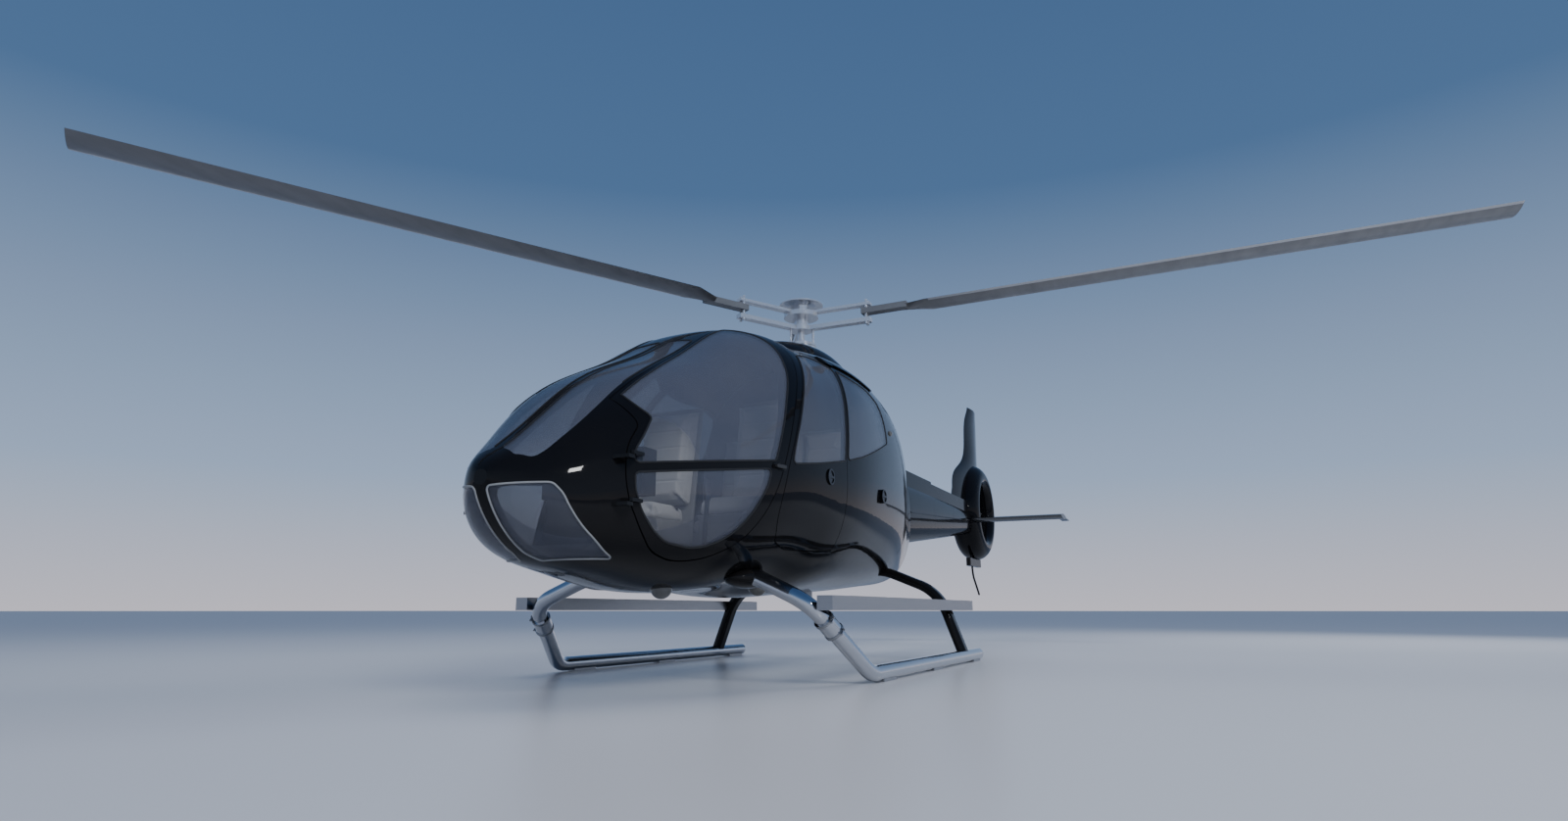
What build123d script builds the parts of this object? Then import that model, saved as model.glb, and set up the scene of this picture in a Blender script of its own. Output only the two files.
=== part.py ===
from build123d import *
import os
from math import asin, cos, radians, sin, tan

os.makedirs("parts", exist_ok=True)

# A light single-engine helicopter with a three-blade rotor, a shrouded tail fan and skids.
# Millimetres. +X is forward, +Y is port, +Z is up, and x = y = 0 is the rotor mast's axis.
# Heights are measured from the ground here. Each node is lowered by pad_height when it is
# written, so that the origin ends on the face of the hard point under the belly.

pad_height = 480
seam_gap = 6
fit_gap = 0.3

# Pod: nose, cabin and engine bay share one outer surface, lofted through these sections.
nose_x = 3625
pod_length = 6175
pod_half_width = 900
belly_height = 503
roof_height = 2432
wall = 40
glass_thickness = 8
pod_height = roof_height - belly_height
widest_share = 0.42
upper_fullness_share = 0.735
lower_fullness_share = 0.67
# Columns: way back from the nose, half width, top, bottom, how far the skin faces forward.
pod_shares = (
    (0.0006, 0.043, 0.280, 0.244, 1.00),
    (0.0075, 0.146, 0.316, 0.198, 0.90),
    (0.0204, 0.242, 0.351, 0.149, 0.65),
    (0.0688, 0.469, 0.481, 0.068, 0.40),
    (0.1417, 0.706, 0.643, 0.030, 0.25),
    (0.2308, 0.887, 0.792, 0.005, 0.10),
    (0.3441, 0.997, 0.906, 0.000, 0.00),
    (0.4575, 1.000, 0.962, 0.009, 0.00),
    (0.5709, 0.915, 0.986, 0.026, 0.00),
    (0.6842, 0.785, 0.970, 0.047, 0.00),
    (0.7976, 0.570, 0.917, 0.070, 0.00),
    (0.9109, 0.325, 0.826, 0.118, 0.00),
    (1.0000, 0.176, 0.678, 0.314, 0.00),
)


bend_reach_share = 0.45
gentle_turn = 38
quarter_turn = 90
full_turn = 360


def back(share):
    return nose_x - share * pod_length


def high(share):
    return belly_height + share * pod_height


def wide(share):
    return share * pod_half_width


def section(x, half_width, top, bottom):
    """A closed hull section of four curves, square to the x axis."""
    middle = bottom + widest_share * (top - bottom)
    edges = []
    for side in (1, -1):
        for end, fullness in ((top, upper_fullness_share), (bottom, lower_fullness_share)):
            flank = Vector(x, side * half_width, middle)
            flank_pull = Vector(x, side * half_width, middle + fullness * (end - middle))
            crest_pull = Vector(x, side * half_width * fullness, end)
            edges.append(Bezier(flank, flank_pull, crest_pull, Vector(x, 0, end)))
    return Face(Wire(edges))


def pod(inset):
    """The pod's solid, drawn in by inset on every side."""
    rings = []
    for x_share, width_share, top_share, bottom_share, forward_share in pod_shares:
        half_width = wide(width_share) - inset
        if half_width > 2 * inset:
            rings.append(section(back(x_share) - inset * forward_share, half_width,
                                 high(top_share) - inset, high(bottom_share) + inset))
    return loft(rings)


def bend_radii(points, corner):
    """A radius for each corner: as large as its two runs allow where the line only bends a little."""
    spots = [Vector(*point) for point in points]
    radii = []
    for number in range(len(spots)):
        before = spots[number] - spots[number - 1]
        after = spots[(number + 1) % len(spots)] - spots[number]
        turn = before.get_angle(after)
        reach = bend_reach_share * min(before.length, after.length) / tan(radians(turn) / 2)
        radii.append(reach if turn < gentle_turn else min(corner, reach))
    return radii


def outline_face(points, corner, shrink):
    face = make_face(FilletPolyline(*points, radius=bend_radii(points, corner), close=True))
    return offset(face, amount=-shrink) if shrink else face


def side_prism(points, corner, shrink=0):
    """A port-side block whose outline is drawn looking across the aircraft."""
    face = outline_face([(x, 0, z) for x, z in points], corner, shrink)
    return extrude(face, amount=2 * pod_half_width, dir=(0, 1, 0))


def plan_prism(points, corner, z_low, shrink=0):
    """A block whose outline is drawn looking down, from z_low up."""
    face = outline_face([(x, y, z_low) for x, y in points], corner, shrink)
    return extrude(face, amount=2 * pod_height, dir=(0, 0, 1))


def front_prism(points, corner, x_low, shrink=0):
    """A block whose outline is drawn looking back at the nose, from x_low forward."""
    face = outline_face([(x_low, y, z) for y, z in points], corner, shrink)
    return extrude(face, amount=pod_length, dir=(1, 0, 0))


def slab(x_low, x_high, y_low, y_high, z_low, z_high):
    """A box given by its limits."""
    box = Box(x_high - x_low, y_high - y_low, z_high - z_low, align=(Align.MIN, Align.MIN, Align.MIN))
    return Pos(x_low, y_low, z_low) * box


def rod(start, end, radius):
    """A round bar between two points."""
    run = Vector(*end) - Vector(*start)
    return extrude(Plane(origin=start, z_dir=run) * Circle(radius), amount=run.length)


def other_side(shape):
    return mirror(shape, about=Plane.XZ)


def both_sides(shape):
    return shape + other_side(shape)


written = []


def write(name, shape):
    """Lowers a node to its own frame and writes it."""
    lowered = Pos(0, 0, -pad_height) * shape
    lowered.label = name
    export_step(lowered, "parts/" + name + ".step", write_pcurves=False)
    written.append(name)


def from_side(shares):
    return [(back(x), high(z)) for x, z in shares]


def from_above(shares):
    return [(back(x), wide(y)) for x, y in shares]


def from_front(shares):
    return [(wide(y), high(z)) for y, z in shares]


pod_outer = pod(0)
pod_glass = pod(glass_thickness)
pod_inner = pod(wall)
skin = pod_outer - pod_inner

# Front doors: the lower outline is seen from the side, the roof edge from above.
pillar_gap = 30
door_corner = 60
window_corner = 25
door_side_shares = (
    (0.330, 1.15), (0.305, 0.775), (0.271, 0.569), (0.249, 0.387), (0.239, 0.310), (0.223, 0.216),
    (0.202, 0.133), (0.174, 0.088), (0.147, 0.079), (0.117, 0.103), (0.096, 0.154), (0.082, 0.216),
    (0.0778, 0.284), (0.080, 0.361), (0.093, 0.425), (0.086, 0.480), (0.084, 1.15),
)
roof_line_shares = (
    (0.086, 0.333), (0.101, 0.345), (0.135, 0.350), (0.182, 0.300), (0.215, 0.272), (0.247, 0.261),
)
upper_window_side_shares = (
    (0.293, 1.15), (0.2865, 0.800), (0.2732, 0.670), (0.2610, 0.593), (0.2528, 0.528), (0.2440, 0.459),
    (0.2345, 0.386), (0.0860, 0.320), (0.0865, 0.352), (0.0940, 0.390), (0.1050, 0.450), (0.0980, 0.475),
    (0.0950, 0.495), (0.0930, 1.15),
)
lower_window_side_shares = (
    (0.2290, 0.360), (0.2235, 0.308), (0.2055, 0.218), (0.1862, 0.150), (0.1598, 0.114),
    (0.1250, 0.127), (0.1069, 0.157), (0.0931, 0.200), (0.0863, 0.249), (0.0860, 0.296),
)


def outboard_of_roof_line(inset):
    """The space outboard of the line where a door meets the roof, moved out by inset."""
    line = [(back(x), wide(y) + inset) for x, y in roof_line_shares]
    far = 2 * pod_half_width
    ends = [(line[-1][0] - pod_half_width, line[-1][1]), (line[-1][0] - pod_half_width, far),
            (line[0][0] + pod_half_width, far), (line[0][0] + pod_half_width, line[0][1])]
    return plan_prism(line + ends, window_corner, 0)


# Both hinges of a front door turn on one line. Its rear edge keeps inside an arc round that line.
hinge_x = 3150
hinge_y = 500
door_swing_radius = hinge_x - back(door_side_shares[1][0])


def door_area(shares, corner, shrink, roof_inset):
    """Part of the pod inside one door outline, below the roof line and inside the swing."""
    swing = Pos(hinge_x, hinge_y, 0) * Cylinder(door_swing_radius - shrink, 2 * pod_length)
    outline = (pod_outer & side_prism(from_side(shares), corner, shrink)) & outboard_of_roof_line(roof_inset)
    return outline & swing


door_hole = door_area(door_side_shares, door_corner, 0, 0)
door_panel = door_area(door_side_shares, door_corner, seam_gap, seam_gap) - pod_inner
upper_hole = door_area(upper_window_side_shares, window_corner, 0, pillar_gap)
lower_hole = pod_outer & side_prism(from_side(lower_window_side_shares), window_corner)
upper_pane = upper_hole - pod_glass
lower_pane = lower_hole - pod_glass
door_left = door_panel - upper_hole - lower_hole

# Windscreen in two panes, drawn from above, and the chin windows, drawn from the front.
windscreen_foot_share = 0.27
windscreen_shares = (
    (0.0154, 0.033), (0.0130, 0.133), (0.0202, 0.211), (0.0300, 0.244), (0.0575, 0.293), (0.0785, 0.314),
    (0.1350, 0.322), (0.1820, 0.272), (0.2150, 0.247), (0.2390, 0.236), (0.2420, 0.033),
)
chin_start_share = 0.1417
chin_shares = (
    (0.039, 0.2395), (0.294, 0.2535), (0.330, 0.2290), (0.361, 0.1747), (0.383, 0.1203),
    (0.358, 0.0824), (0.067, 0.0752), (0.039, 0.0918),
)


windscreen_hole = pod_outer & plan_prism(from_above(windscreen_shares), window_corner,
                                         high(windscreen_foot_share))
windscreen_left = windscreen_hole - pod_glass
chin_hole = pod_outer & front_prism(from_front(chin_shares), window_corner, back(chin_start_share))
chin_left = chin_hole - pod_glass

# Cabin side behind the front doors: a window pane in the rear door, then a fixed one.
rear_door_corner = 40
rear_door_shares = (
    (0.3279, 0.8383), (0.3101, 0.7501), (0.2785, 0.5687), (0.2543, 0.3872), (0.2453, 0.2836),
    (0.2437, 0.2162), (0.2551, 0.1540), (0.2794, 0.1332), (0.3749, 0.1436), (0.3741, 0.4546),
    (0.3814, 0.5402), (0.3903, 0.6236), (0.4024, 0.7138), (0.4170, 0.8175), (0.3927, 0.8616),
    (0.3522, 0.8616),
)
rear_window_shares = (
    (0.3230, 0.7916), (0.3126, 0.7424), (0.2889, 0.6102), (0.2670, 0.4598), (0.2599, 0.3872),
    (0.3109, 0.4111), (0.3709, 0.4479), (0.3781, 0.5402), (0.3870, 0.6236), (0.3995, 0.7138),
    (0.4130, 0.8123), (0.3819, 0.8393), (0.3496, 0.8186),
)
quarter_window_shares = (
    (0.4219, 0.8149), (0.4552, 0.8072), (0.5190, 0.8123), (0.5530, 0.7854), (0.5590, 0.7335),
    (0.5566, 0.6620), (0.5500, 0.6070), (0.4657, 0.5257), (0.4251, 0.4878), (0.3773, 0.4520),
    (0.3846, 0.5402), (0.3935, 0.6236), (0.4057, 0.7138),
)


def side_area(shares, corner, shrink):
    return pod_outer & side_prism(from_side(shares), corner, shrink)


rear_door_hole = side_area(rear_door_shares, rear_door_corner, 0)
rear_window_hole = side_area(rear_window_shares, window_corner, 0)
rear_pane = rear_window_hole - pod_glass
rear_door = side_area(rear_door_shares, rear_door_corner, seam_gap) - pod_inner - rear_window_hole
pod_clearance = pod(-fit_gap)
seal_depth_share = 0.5
seal_outer = pod(seal_depth_share * wall) & side_prism(
    from_side(rear_door_shares), rear_door_corner, fit_gap)
door_seal = seal_outer - pod_inner - side_prism(from_side(rear_door_shares), rear_door_corner,
                                                seam_gap - fit_gap)
quarter_hole = side_area(quarter_window_shares, window_corner, 0)
quarter_pane = quarter_hole - pod_glass

# Front door hinges: on each side two goosenecks reach out to a pin line outside the seam.
hinge_arm = 85
hinge_foot = 45
hinge_eye = 11
hinge_leaf = 18
hinge_gap = 5
hinge_heights = (900, 1130)


def gooseneck(foot_near, foot_far, z_low):
    """A bar from a round eye on the pin line, and a foot that turns in to the skin."""
    x_low, x_high = sorted((hinge_x, hinge_x + foot_far))
    bar = slab(x_low, x_high, hinge_y - hinge_eye, hinge_y + hinge_eye, z_low, z_low + hinge_leaf)
    foot_low, foot_high = sorted((hinge_x + foot_near, hinge_x + foot_far))
    foot = slab(foot_low, foot_high, hinge_y - hinge_arm, hinge_y, z_low, z_low + hinge_leaf)
    eye = Pos(hinge_x, hinge_y, z_low) * Cylinder(hinge_eye, hinge_leaf,
                                                  align=(Align.CENTER, Align.CENTER, Align.MIN))
    return (bar + foot + eye) - pod_clearance


hinge_fixed = Part()
hinge_leaves = Part()
for hinge_height in hinge_heights:
    hinge_fixed = hinge_fixed + gooseneck(hinge_eye, hinge_foot, hinge_height)
    hinge_leaves = hinge_leaves + gooseneck(-hinge_foot, -hinge_arm, hinge_height + hinge_leaf + hinge_gap)

# Rail for the sliding door under the roof's edge, and the roller bracket at its front end.
rail_thickness = 12
rail_front_x = 1000
rail_rear_x = 130
rail_height = 2150
rail_width = 28
bracket_length = 90
bracket_width = 60
rail_band = pod(-rail_thickness) - pod_clearance
door_rail = rail_band & slab(rail_rear_x, rail_front_x, 0, pod_half_width,
                             rail_height - rail_width / 2, rail_height + rail_width / 2)
rail_bracket = rail_band & slab(rail_front_x + seam_gap, rail_front_x + seam_gap + bracket_length,
                                0, pod_half_width,
                                rail_height - bracket_width / 2, rail_height + bracket_width / 2)

# Round caps on the port side: the sliding door's lock and the fuel filler behind it.
cap_disc_radius = 51
cap_recess_radius = 40
cap_recess = 5
cap_bar = 14
cap_face_y = 900
side_cap_places = ((1572, 1230), (540, 1226))


def side_cap(x, z):
    """A disc let into the skin, with a round recess and a grip bar left across it."""
    disc_blank = Pos(x, cap_face_y, z) * Rot(quarter_turn, 0, 0) * Cylinder(
        cap_disc_radius, 2 * wall, align=(Align.CENTER, Align.CENTER, Align.MIN))
    recess = Pos(x, cap_face_y, z) * Rot(quarter_turn, 0, 0) * Cylinder(cap_recess_radius, 2 * cap_recess)
    bar = slab(x - cap_recess_radius, x + cap_recess_radius,
               cap_face_y - 2 * cap_recess, cap_face_y + cap_recess, z - cap_bar / 2, z + cap_bar / 2)
    return disc_blank - (recess - bar) - pod_clearance


side_caps = Part()
for cap_x, cap_z in side_cap_places:
    side_caps = side_caps + side_cap(cap_x, cap_z)

# Skid gear. The front legs and skids are one bent tube each, joined by a cross tube.
track_half = 1145
tube_radius = 47.5
front_leg_x = 2035
front_tube_height = 612
front_tube_half_run = 600
front_tube_sag = 5
shoulder_lead = 35
shoulder_half_width = 960
shoulder_height = 450
skid_bend_x = 1600
skid_toe_in = 5
skid_rear_x = -1120
sleeve_share = 0.30
shoe_thickness = 6
skid_height = tube_radius + shoe_thickness
arch_bend_radius = 300
leg_bend_radius = 200
skid_bend_radius = 180
arch_end = Vector(front_leg_x, front_tube_half_run, front_tube_height - front_tube_sag)
shoulder = Vector(front_leg_x + shoulder_lead, shoulder_half_width, shoulder_height)
skid_bend = Vector(skid_bend_x, track_half - skid_toe_in, skid_height)
skid_end = Vector(skid_rear_x, track_half, skid_height)
sleeve_point = shoulder + sleeve_share * (skid_bend - shoulder)


def tube(corners, radii, profile_of):
    """Sweeps a profile along straight runs joined by arcs."""
    path = FilletPolyline(*corners, radius=radii)
    profile = Plane(origin=path @ 0, z_dir=path % 0) * profile_of
    return sweep(profile, path=path)


def across(port_corners):
    """The same corners on starboard, in order, followed by those on port."""
    return [Vector(v.X, -v.Y, v.Z) for v in reversed(port_corners)] + port_corners


def front_tube(radius):
    corners = across([arch_end, shoulder, sleeve_point])
    return tube(corners, [leg_bend_radius, arch_bend_radius, arch_bend_radius, leg_bend_radius],
                Circle(radius))


front_cross_tube = front_tube(tube_radius)
skid_left = tube([sleeve_point, skid_bend, skid_end], [skid_bend_radius], Circle(tube_radius))

# Rear cross tube: one flattened arch that lands on both skids.
rear_leg_x = -650
rear_tube_height = 740
rear_tube_half_run = 500
rear_shoulder_half_width = 955
rear_shoulder_height = 560
rear_tube_width = 130
rear_tube_depth = 76
rear_corner_radius = 35
rear_bend_radius = 400


def rear_tube(grow):
    corners = across([Vector(rear_leg_x, rear_tube_half_run, rear_tube_height),
                      Vector(rear_leg_x, rear_shoulder_half_width, rear_shoulder_height),
                      Vector(rear_leg_x, track_half, skid_height)])
    path = FilletPolyline(*corners, radius=rear_bend_radius)
    plane = Plane(origin=path @ 0, x_dir=(1, 0, 0), z_dir=path % 0)
    profile = RectangleRounded(rear_tube_width + 2 * grow, rear_tube_depth + 2 * grow,
                               rear_corner_radius + grow)
    return sweep(plane * profile, path=path)


skid_seat = tube([sleeve_point, skid_bend, skid_end], [skid_bend_radius], Circle(tube_radius + fit_gap))
rear_cross_tube = rear_tube(0) - skid_seat - other_side(skid_seat)
leg_clearance = front_tube(tube_radius + fit_gap) + rear_tube(fit_gap)

# Clamp sleeves over the joint of the cross tube and each skid.
sleeve_wall = 9
sleeve_radius = tube_radius + sleeve_wall
sleeve_length = 120
sleeve_run = (skid_bend - shoulder).normalized()
sleeve_start = sleeve_point - sleeve_length / 2 * sleeve_run
sleeve_end = sleeve_point + sleeve_length / 2 * sleeve_run
sleeve = (rod(sleeve_start, sleeve_end, sleeve_radius)
          - rod(sleeve_start, sleeve_end, tube_radius + fit_gap))

# Wear shoes: flat-soled saddles under each skid, at shares of its straight run from the rear.
shoe_length = 240
shoe_half_width = 30
shoe_shares = (0.06, 0.50, 0.90)
shoes_left = Part()
for run_share in shoe_shares:
    middle = skid_end + run_share * (skid_bend - skid_end)
    block = slab(middle.X - shoe_length / 2, middle.X + shoe_length / 2, middle.Y - shoe_half_width,
                 middle.Y + shoe_half_width, 0, skid_height)
    shoes_left = shoes_left + (block - skid_seat)

# Fairings where the front legs leave the belly.
fairing_leg_x = 1985
fairing_leg_y = 520
fairing_leg_height = 600
fairing_leg_reach = (190, 120, 62)
leg_lump = Pos(fairing_leg_x, fairing_leg_y, fairing_leg_height) * scale(Sphere(1), by=fairing_leg_reach)
leg_fairing = leg_lump - pod_clearance - leg_clearance

# Steps: long channels along both sides, open underneath, resting against the legs.
step_front_x = 2095
step_rear_x = -1190
step_y = 1058
step_width = 92
step_bottom = 415
step_height = 81
step_wall = 6
step_outer = slab(step_rear_x, step_front_x, step_y - step_width / 2, step_y + step_width / 2,
                  step_bottom, step_bottom + step_height)
step_inner = slab(step_rear_x + step_wall, step_front_x - step_wall, step_y - step_width / 2 + step_wall,
                  step_y + step_width / 2 - step_wall, step_bottom,
                  step_bottom + step_height - step_wall)
step_left = step_outer - step_inner - leg_clearance - rod(sleeve_start, sleeve_end, sleeve_radius + fit_gap)

# Cabin, rear fuselage and engine cowling share the skin, split where the real panels meet.
cabin_rear_x = 120
cowling_height = 1950
big = 4 * pod_length
cabin_space = slab(cabin_rear_x + fit_gap, big, -big, big, -big, big)
rear_space = slab(-big, cabin_rear_x, -big, big, -big, cowling_height)
cowling_space = slab(-big, cabin_rear_x, -big, big, cowling_height + fit_gap, big)


def disc(radius, low, high_end):
    """A round bar on the mast's axis between two heights."""
    return Pos(0, 0, low) * Cylinder(radius, high_end - low, align=(Align.CENTER, Align.CENTER, Align.MIN))


# Main gearbox with the neck that carries the mast and the controls through the roof.
mast_radius = 32.5
mast_top = 3000
gearbox_radius = 170
gearbox_bottom = 1490
gearbox_top = 2600
neck_radius = 75
gearbox = (disc(gearbox_radius, gearbox_bottom, roof_height - wall)
           + disc(neck_radius, gearbox_bottom, gearbox_top))
roof_hole = disc(gearbox_radius + seam_gap, gearbox_bottom, roof_height + pod_height)

cabin_shell = skin & cabin_space
for hole in (door_hole, windscreen_hole, chin_hole, quarter_hole):
    cabin_shell = cabin_shell - hole - other_side(hole)
cabin_shell = cabin_shell - rear_door_hole - other_side(rear_window_hole) - leg_clearance - roof_hole
rear_fuselage = (skin & rear_space) - leg_clearance
cowling = (skin & cowling_space) - roof_hole

# Air intakes: a louvred opening on each side of the cowling.
louvre_front_x = -150
louvre_rear_x = -800
louvre_bottom = 2040
louvre_top = 2210
louvre_count = 7
louvre_blade = 9
louvre_depth_share = 0.6
louvre_corners = [(louvre_front_x, louvre_bottom), (louvre_front_x, louvre_top),
                  (louvre_rear_x, louvre_top), (louvre_rear_x, louvre_bottom)]
louvre_hole = side_prism(louvre_corners, window_corner)
louvre_band = (pod(fit_gap) - pod(louvre_depth_share * wall)) & side_prism(
    louvre_corners, window_corner, fit_gap)
louvre_pitch = (louvre_top - louvre_bottom) / louvre_count
louvres = Part()
for row in range(louvre_count):
    low = louvre_bottom + (row + 1 / 2) * louvre_pitch - louvre_blade / 2
    louvres = louvres + (louvre_band & slab(louvre_rear_x, louvre_front_x, 0, pod_half_width,
                                            low, low + louvre_blade))
cowling = cowling - louvre_hole - other_side(louvre_hole)

# Exhaust: a bent-back pipe from the engine up through the cowling.
exhaust_radius = 105
exhaust_wall = 4
exhaust_start = (-1520, 0, 1929)
exhaust_end = (-1960, 0, 2180)
exhaust_pipe = (rod(exhaust_start, exhaust_end, exhaust_radius)
                - rod(exhaust_start, exhaust_end, exhaust_radius - exhaust_wall))
cowling = cowling - rod(exhaust_start, exhaust_end, exhaust_radius + fit_gap)

# Fairing on the roof round the neck, lofted and hollow. Columns: back, half width, top.
fairing_front_x = 950
fairing_length = 2100
fairing_half_width = 340
fairing_rise = 640
fairing_wall = 12
fairing_shares = (
    (0.000, 0.176, 0.712), (0.167, 0.735, 0.879), (0.381, 1.000, 1.000),
    (0.619, 0.971, 0.970), (0.857, 0.588, 0.803), (1.000, 0.176, 0.621),
)


def fairing(inset):
    rings = []
    for back_share, width_share, rise_share in fairing_shares:
        x = fairing_front_x - inset - back_share * (fairing_length - 2 * inset)
        rings.append(section(x, width_share * fairing_half_width - inset,
                             cowling_height + rise_share * fairing_rise - inset, cowling_height))
    return loft(rings)


mast_fairing = fairing(0) - fairing(fairing_wall) - pod_clearance - disc(neck_radius + fit_gap, 0, mast_top)

# Cabin floor, rear bulkhead and engine deck, cut to the inside of the skin.
floor_height = 700
floor_thickness = 30
floor_front_x = 3150
bulkhead_x = 220
deck_height = 1450
lining = pod(wall + fit_gap)
cabin_floor = lining & slab(bulkhead_x, floor_front_x, -big, big,
                            floor_height, floor_height + floor_thickness)
bulkhead = lining & slab(bulkhead_x, bulkhead_x + floor_thickness, -big, big,
                         floor_height + floor_thickness + fit_gap, big)
engine_deck = lining & slab(back(1), bulkhead_x - fit_gap, -big, big, deck_height, gearbox_bottom - fit_gap)

# Engine: one plain block on the deck, behind the gearbox.
engine_front_x = -450
engine_length = 1000
engine_half_width = 230
engine_height = 420
engine_block = slab(engine_front_x - engine_length, engine_front_x, -engine_half_width, engine_half_width,
                    gearbox_bottom, gearbox_bottom + engine_height)

# Seats: two bucket seats in front, one bench behind.
seat_width = 470
seat_y = 380
seat_base = 250
cushion_depth = 470
cushion_thickness = 120
backrest_height = 720
backrest_thickness = 110
backrest_lean = 110
seat_corner = 45
seat_floor = floor_height + floor_thickness + fit_gap


def seat(rear_x, width, middle_y):
    """One upholstered seat on its plinth, drawn from the side and given a width."""
    top = seat_floor + seat_base + cushion_thickness
    profile = [(rear_x, seat_floor), (rear_x + cushion_depth, seat_floor), (rear_x + cushion_depth, top),
               (rear_x + backrest_thickness, top),
               (rear_x + backrest_thickness - backrest_lean, top + backrest_height),
               (rear_x - backrest_lean, top + backrest_height)]
    face = make_face(FilletPolyline(*[(x, middle_y - width / 2, z) for x, z in profile],
                                    radius=seat_corner, close=True))
    return extrude(face, amount=width, dir=(0, 1, 0))


front_seat_x = 1480
rear_seat_x = 400
bench_width = 1100
front_seat = seat(front_seat_x, seat_width, seat_y)
rear_bench = seat(rear_seat_x, bench_width, 0)

# Instrument panel on its pedestal, with the small controls in front of the seats.
console_x = 2650
console_half_width = 150
console_length = 330
panel_half_width = 330
panel_bottom = 1010
panel_top = 1260
panel_thickness = 130
console = slab(console_x, console_x + console_length, -console_half_width, console_half_width,
               seat_floor, panel_bottom)
panel = slab(console_x + console_length / 2 - panel_thickness, console_x + console_length / 2,
             -panel_half_width, panel_half_width, panel_bottom, panel_top)
instrument_panel = console + panel
stick_x = 2250
stick_radius = 14
stick_height = 420
stick_lean = 40
stick_lift = 1.5
stick_foot = (stick_x, seat_y, seat_floor + stick_lift)
stick_top = (stick_x - stick_lean, seat_y, seat_floor + stick_height)
stick = rod(stick_foot, stick_top, stick_radius)

# Tail boom, lofted from the pod's rear end to inside the tail shroud, and hollow.
boom_front_x = back(1)
boom_rear_x = -5750
boom_bottom = 1115
boom_depth = 685
boom_wall = 8
# Columns: way back, half width, top, bottom, the last three as shares of the depth.
boom_shares = ((0, 0.226, 1.000, 0.000), (1, 0.161, 1.015, 0.511))


def boom(inset):
    rings = []
    for back_share, width_share, top_share, bottom_share in boom_shares:
        x = boom_front_x - fit_gap + back_share * (boom_rear_x - boom_front_x)
        rings.append(section(x, width_share * boom_depth - inset,
                             boom_bottom + top_share * boom_depth - inset,
                             boom_bottom + bottom_share * boom_depth + inset))
    return loft(rings)


boom_solid = boom(0)

# Shroud round the tail fan: a hollow ring with a flared duct through it.
shroud_x = -6250
shroud_height = 1820
shroud_radius = 690
shroud_half_thickness = 205
lip_radius = 480
duct_radius = 387
duct_half_width = 90
lip_swell = 20
rim_swell = 45
shroud_wall = 12
duct_mouth = ((duct_radius + lip_radius) / 2 - lip_swell,
              (duct_half_width + shroud_half_thickness) / 2 + lip_swell)
rim_flank = ((lip_radius + shroud_radius) / 2 + rim_swell, shroud_half_thickness / 2 + rim_swell)


def mirrored(point):
    return (point[0], -point[1])


def at_fan(shape):
    return Pos(shroud_x, 0, shroud_height) * shape


duct_edge = (duct_radius, duct_half_width)
lip_edge = (lip_radius, shroud_half_thickness)
rim_edge = (shroud_radius, 0)
ring_outline = Face(Wire([
    Line(mirrored(duct_edge), duct_edge),
    ThreePointArc(duct_edge, duct_mouth, lip_edge),
    ThreePointArc(lip_edge, rim_flank, rim_edge),
    ThreePointArc(rim_edge, mirrored(rim_flank), mirrored(lip_edge)),
    ThreePointArc(mirrored(lip_edge), mirrored(duct_mouth), mirrored(duct_edge)),
]))
ring_space = offset(ring_outline, amount=-shroud_wall)
ring_solid = at_fan(revolve(ring_outline, Axis.Y))
ring_hollow = at_fan(revolve(ring_space, Axis.Y))
duct_bore = at_fan(Rot(quarter_turn, 0, 0) * Cylinder(lip_radius, pod_length))

# Fin: lens sections from the boom up, whose leading edge sweeps back through the shroud's rim.
fin_foot = 1850
fin_height = 1550
fin_front_x = -4860
fin_length = 1830
fin_half_thickness = 60
fin_wall = 5
fin_edge_depth = 70
crest_share = 0.4
# Columns: up, leading edge, trailing edge, half thickness.
fin_shares = (
    (0.000, 0.000, 0.787, 0.80), (0.194, 0.109, 0.896, 0.95), (0.329, 0.251, 0.973, 1.00),
    (0.458, 0.464, 0.978, 0.90), (0.710, 0.552, 0.989, 0.68), (0.923, 0.656, 0.995, 0.50),
    (1.000, 0.710, 1.000, 0.45),
)


def lens(z, front, rear, half):
    middle = front + crest_share * (rear - front)
    return Face(Wire([ThreePointArc((front, 0, z), (middle, half, z), (rear, 0, z)),
                      ThreePointArc((rear, 0, z), (middle, -half, z), (front, 0, z))]))


def fin(inset, edge_depth):
    rings = []
    for up_share, front_share, rear_share, half_share in fin_shares:
        rings.append(lens(fin_foot + up_share * (fin_height - inset),
                          fin_front_x - front_share * fin_length - edge_depth,
                          fin_front_x - rear_share * fin_length + edge_depth,
                          half_share * fin_half_thickness - inset))
    return loft(rings)


tail_boom = boom_solid - boom(boom_wall) - ring_solid

# Cover over the tail rotor's drive shaft, along the top of the boom.
cover_half_width = 95
cover_bottom = 1740
cover_top = 1930
cover_step_x = -3650
cover_step = 25
cover_rear_x = -5500
cover_wall = 5


def cover_block(inset):
    """The cover's two lengths as one block, drawn in on the sides and the top."""
    y_high = cover_half_width - inset
    front = slab(cover_step_x, boom_front_x - fit_gap, -y_high, y_high, cover_bottom, cover_top - inset)
    rear = slab(cover_rear_x, cover_step_x, -y_high, y_high, cover_bottom, cover_top - cover_step - inset)
    return front + rear


shaft_cover = cover_block(0) - cover_block(cover_wall) - boom_solid - ring_solid
fin_cut = cover_block(-fit_gap) + boom_solid + duct_bore
fin_solid = fin(0, 0) - fin_cut
fin_hollow = fin(fin_wall, fin_edge_depth) - fin_cut
tail_fin = (ring_solid + fin_solid) - ring_hollow - fin_hollow - boom(boom_wall)

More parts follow.
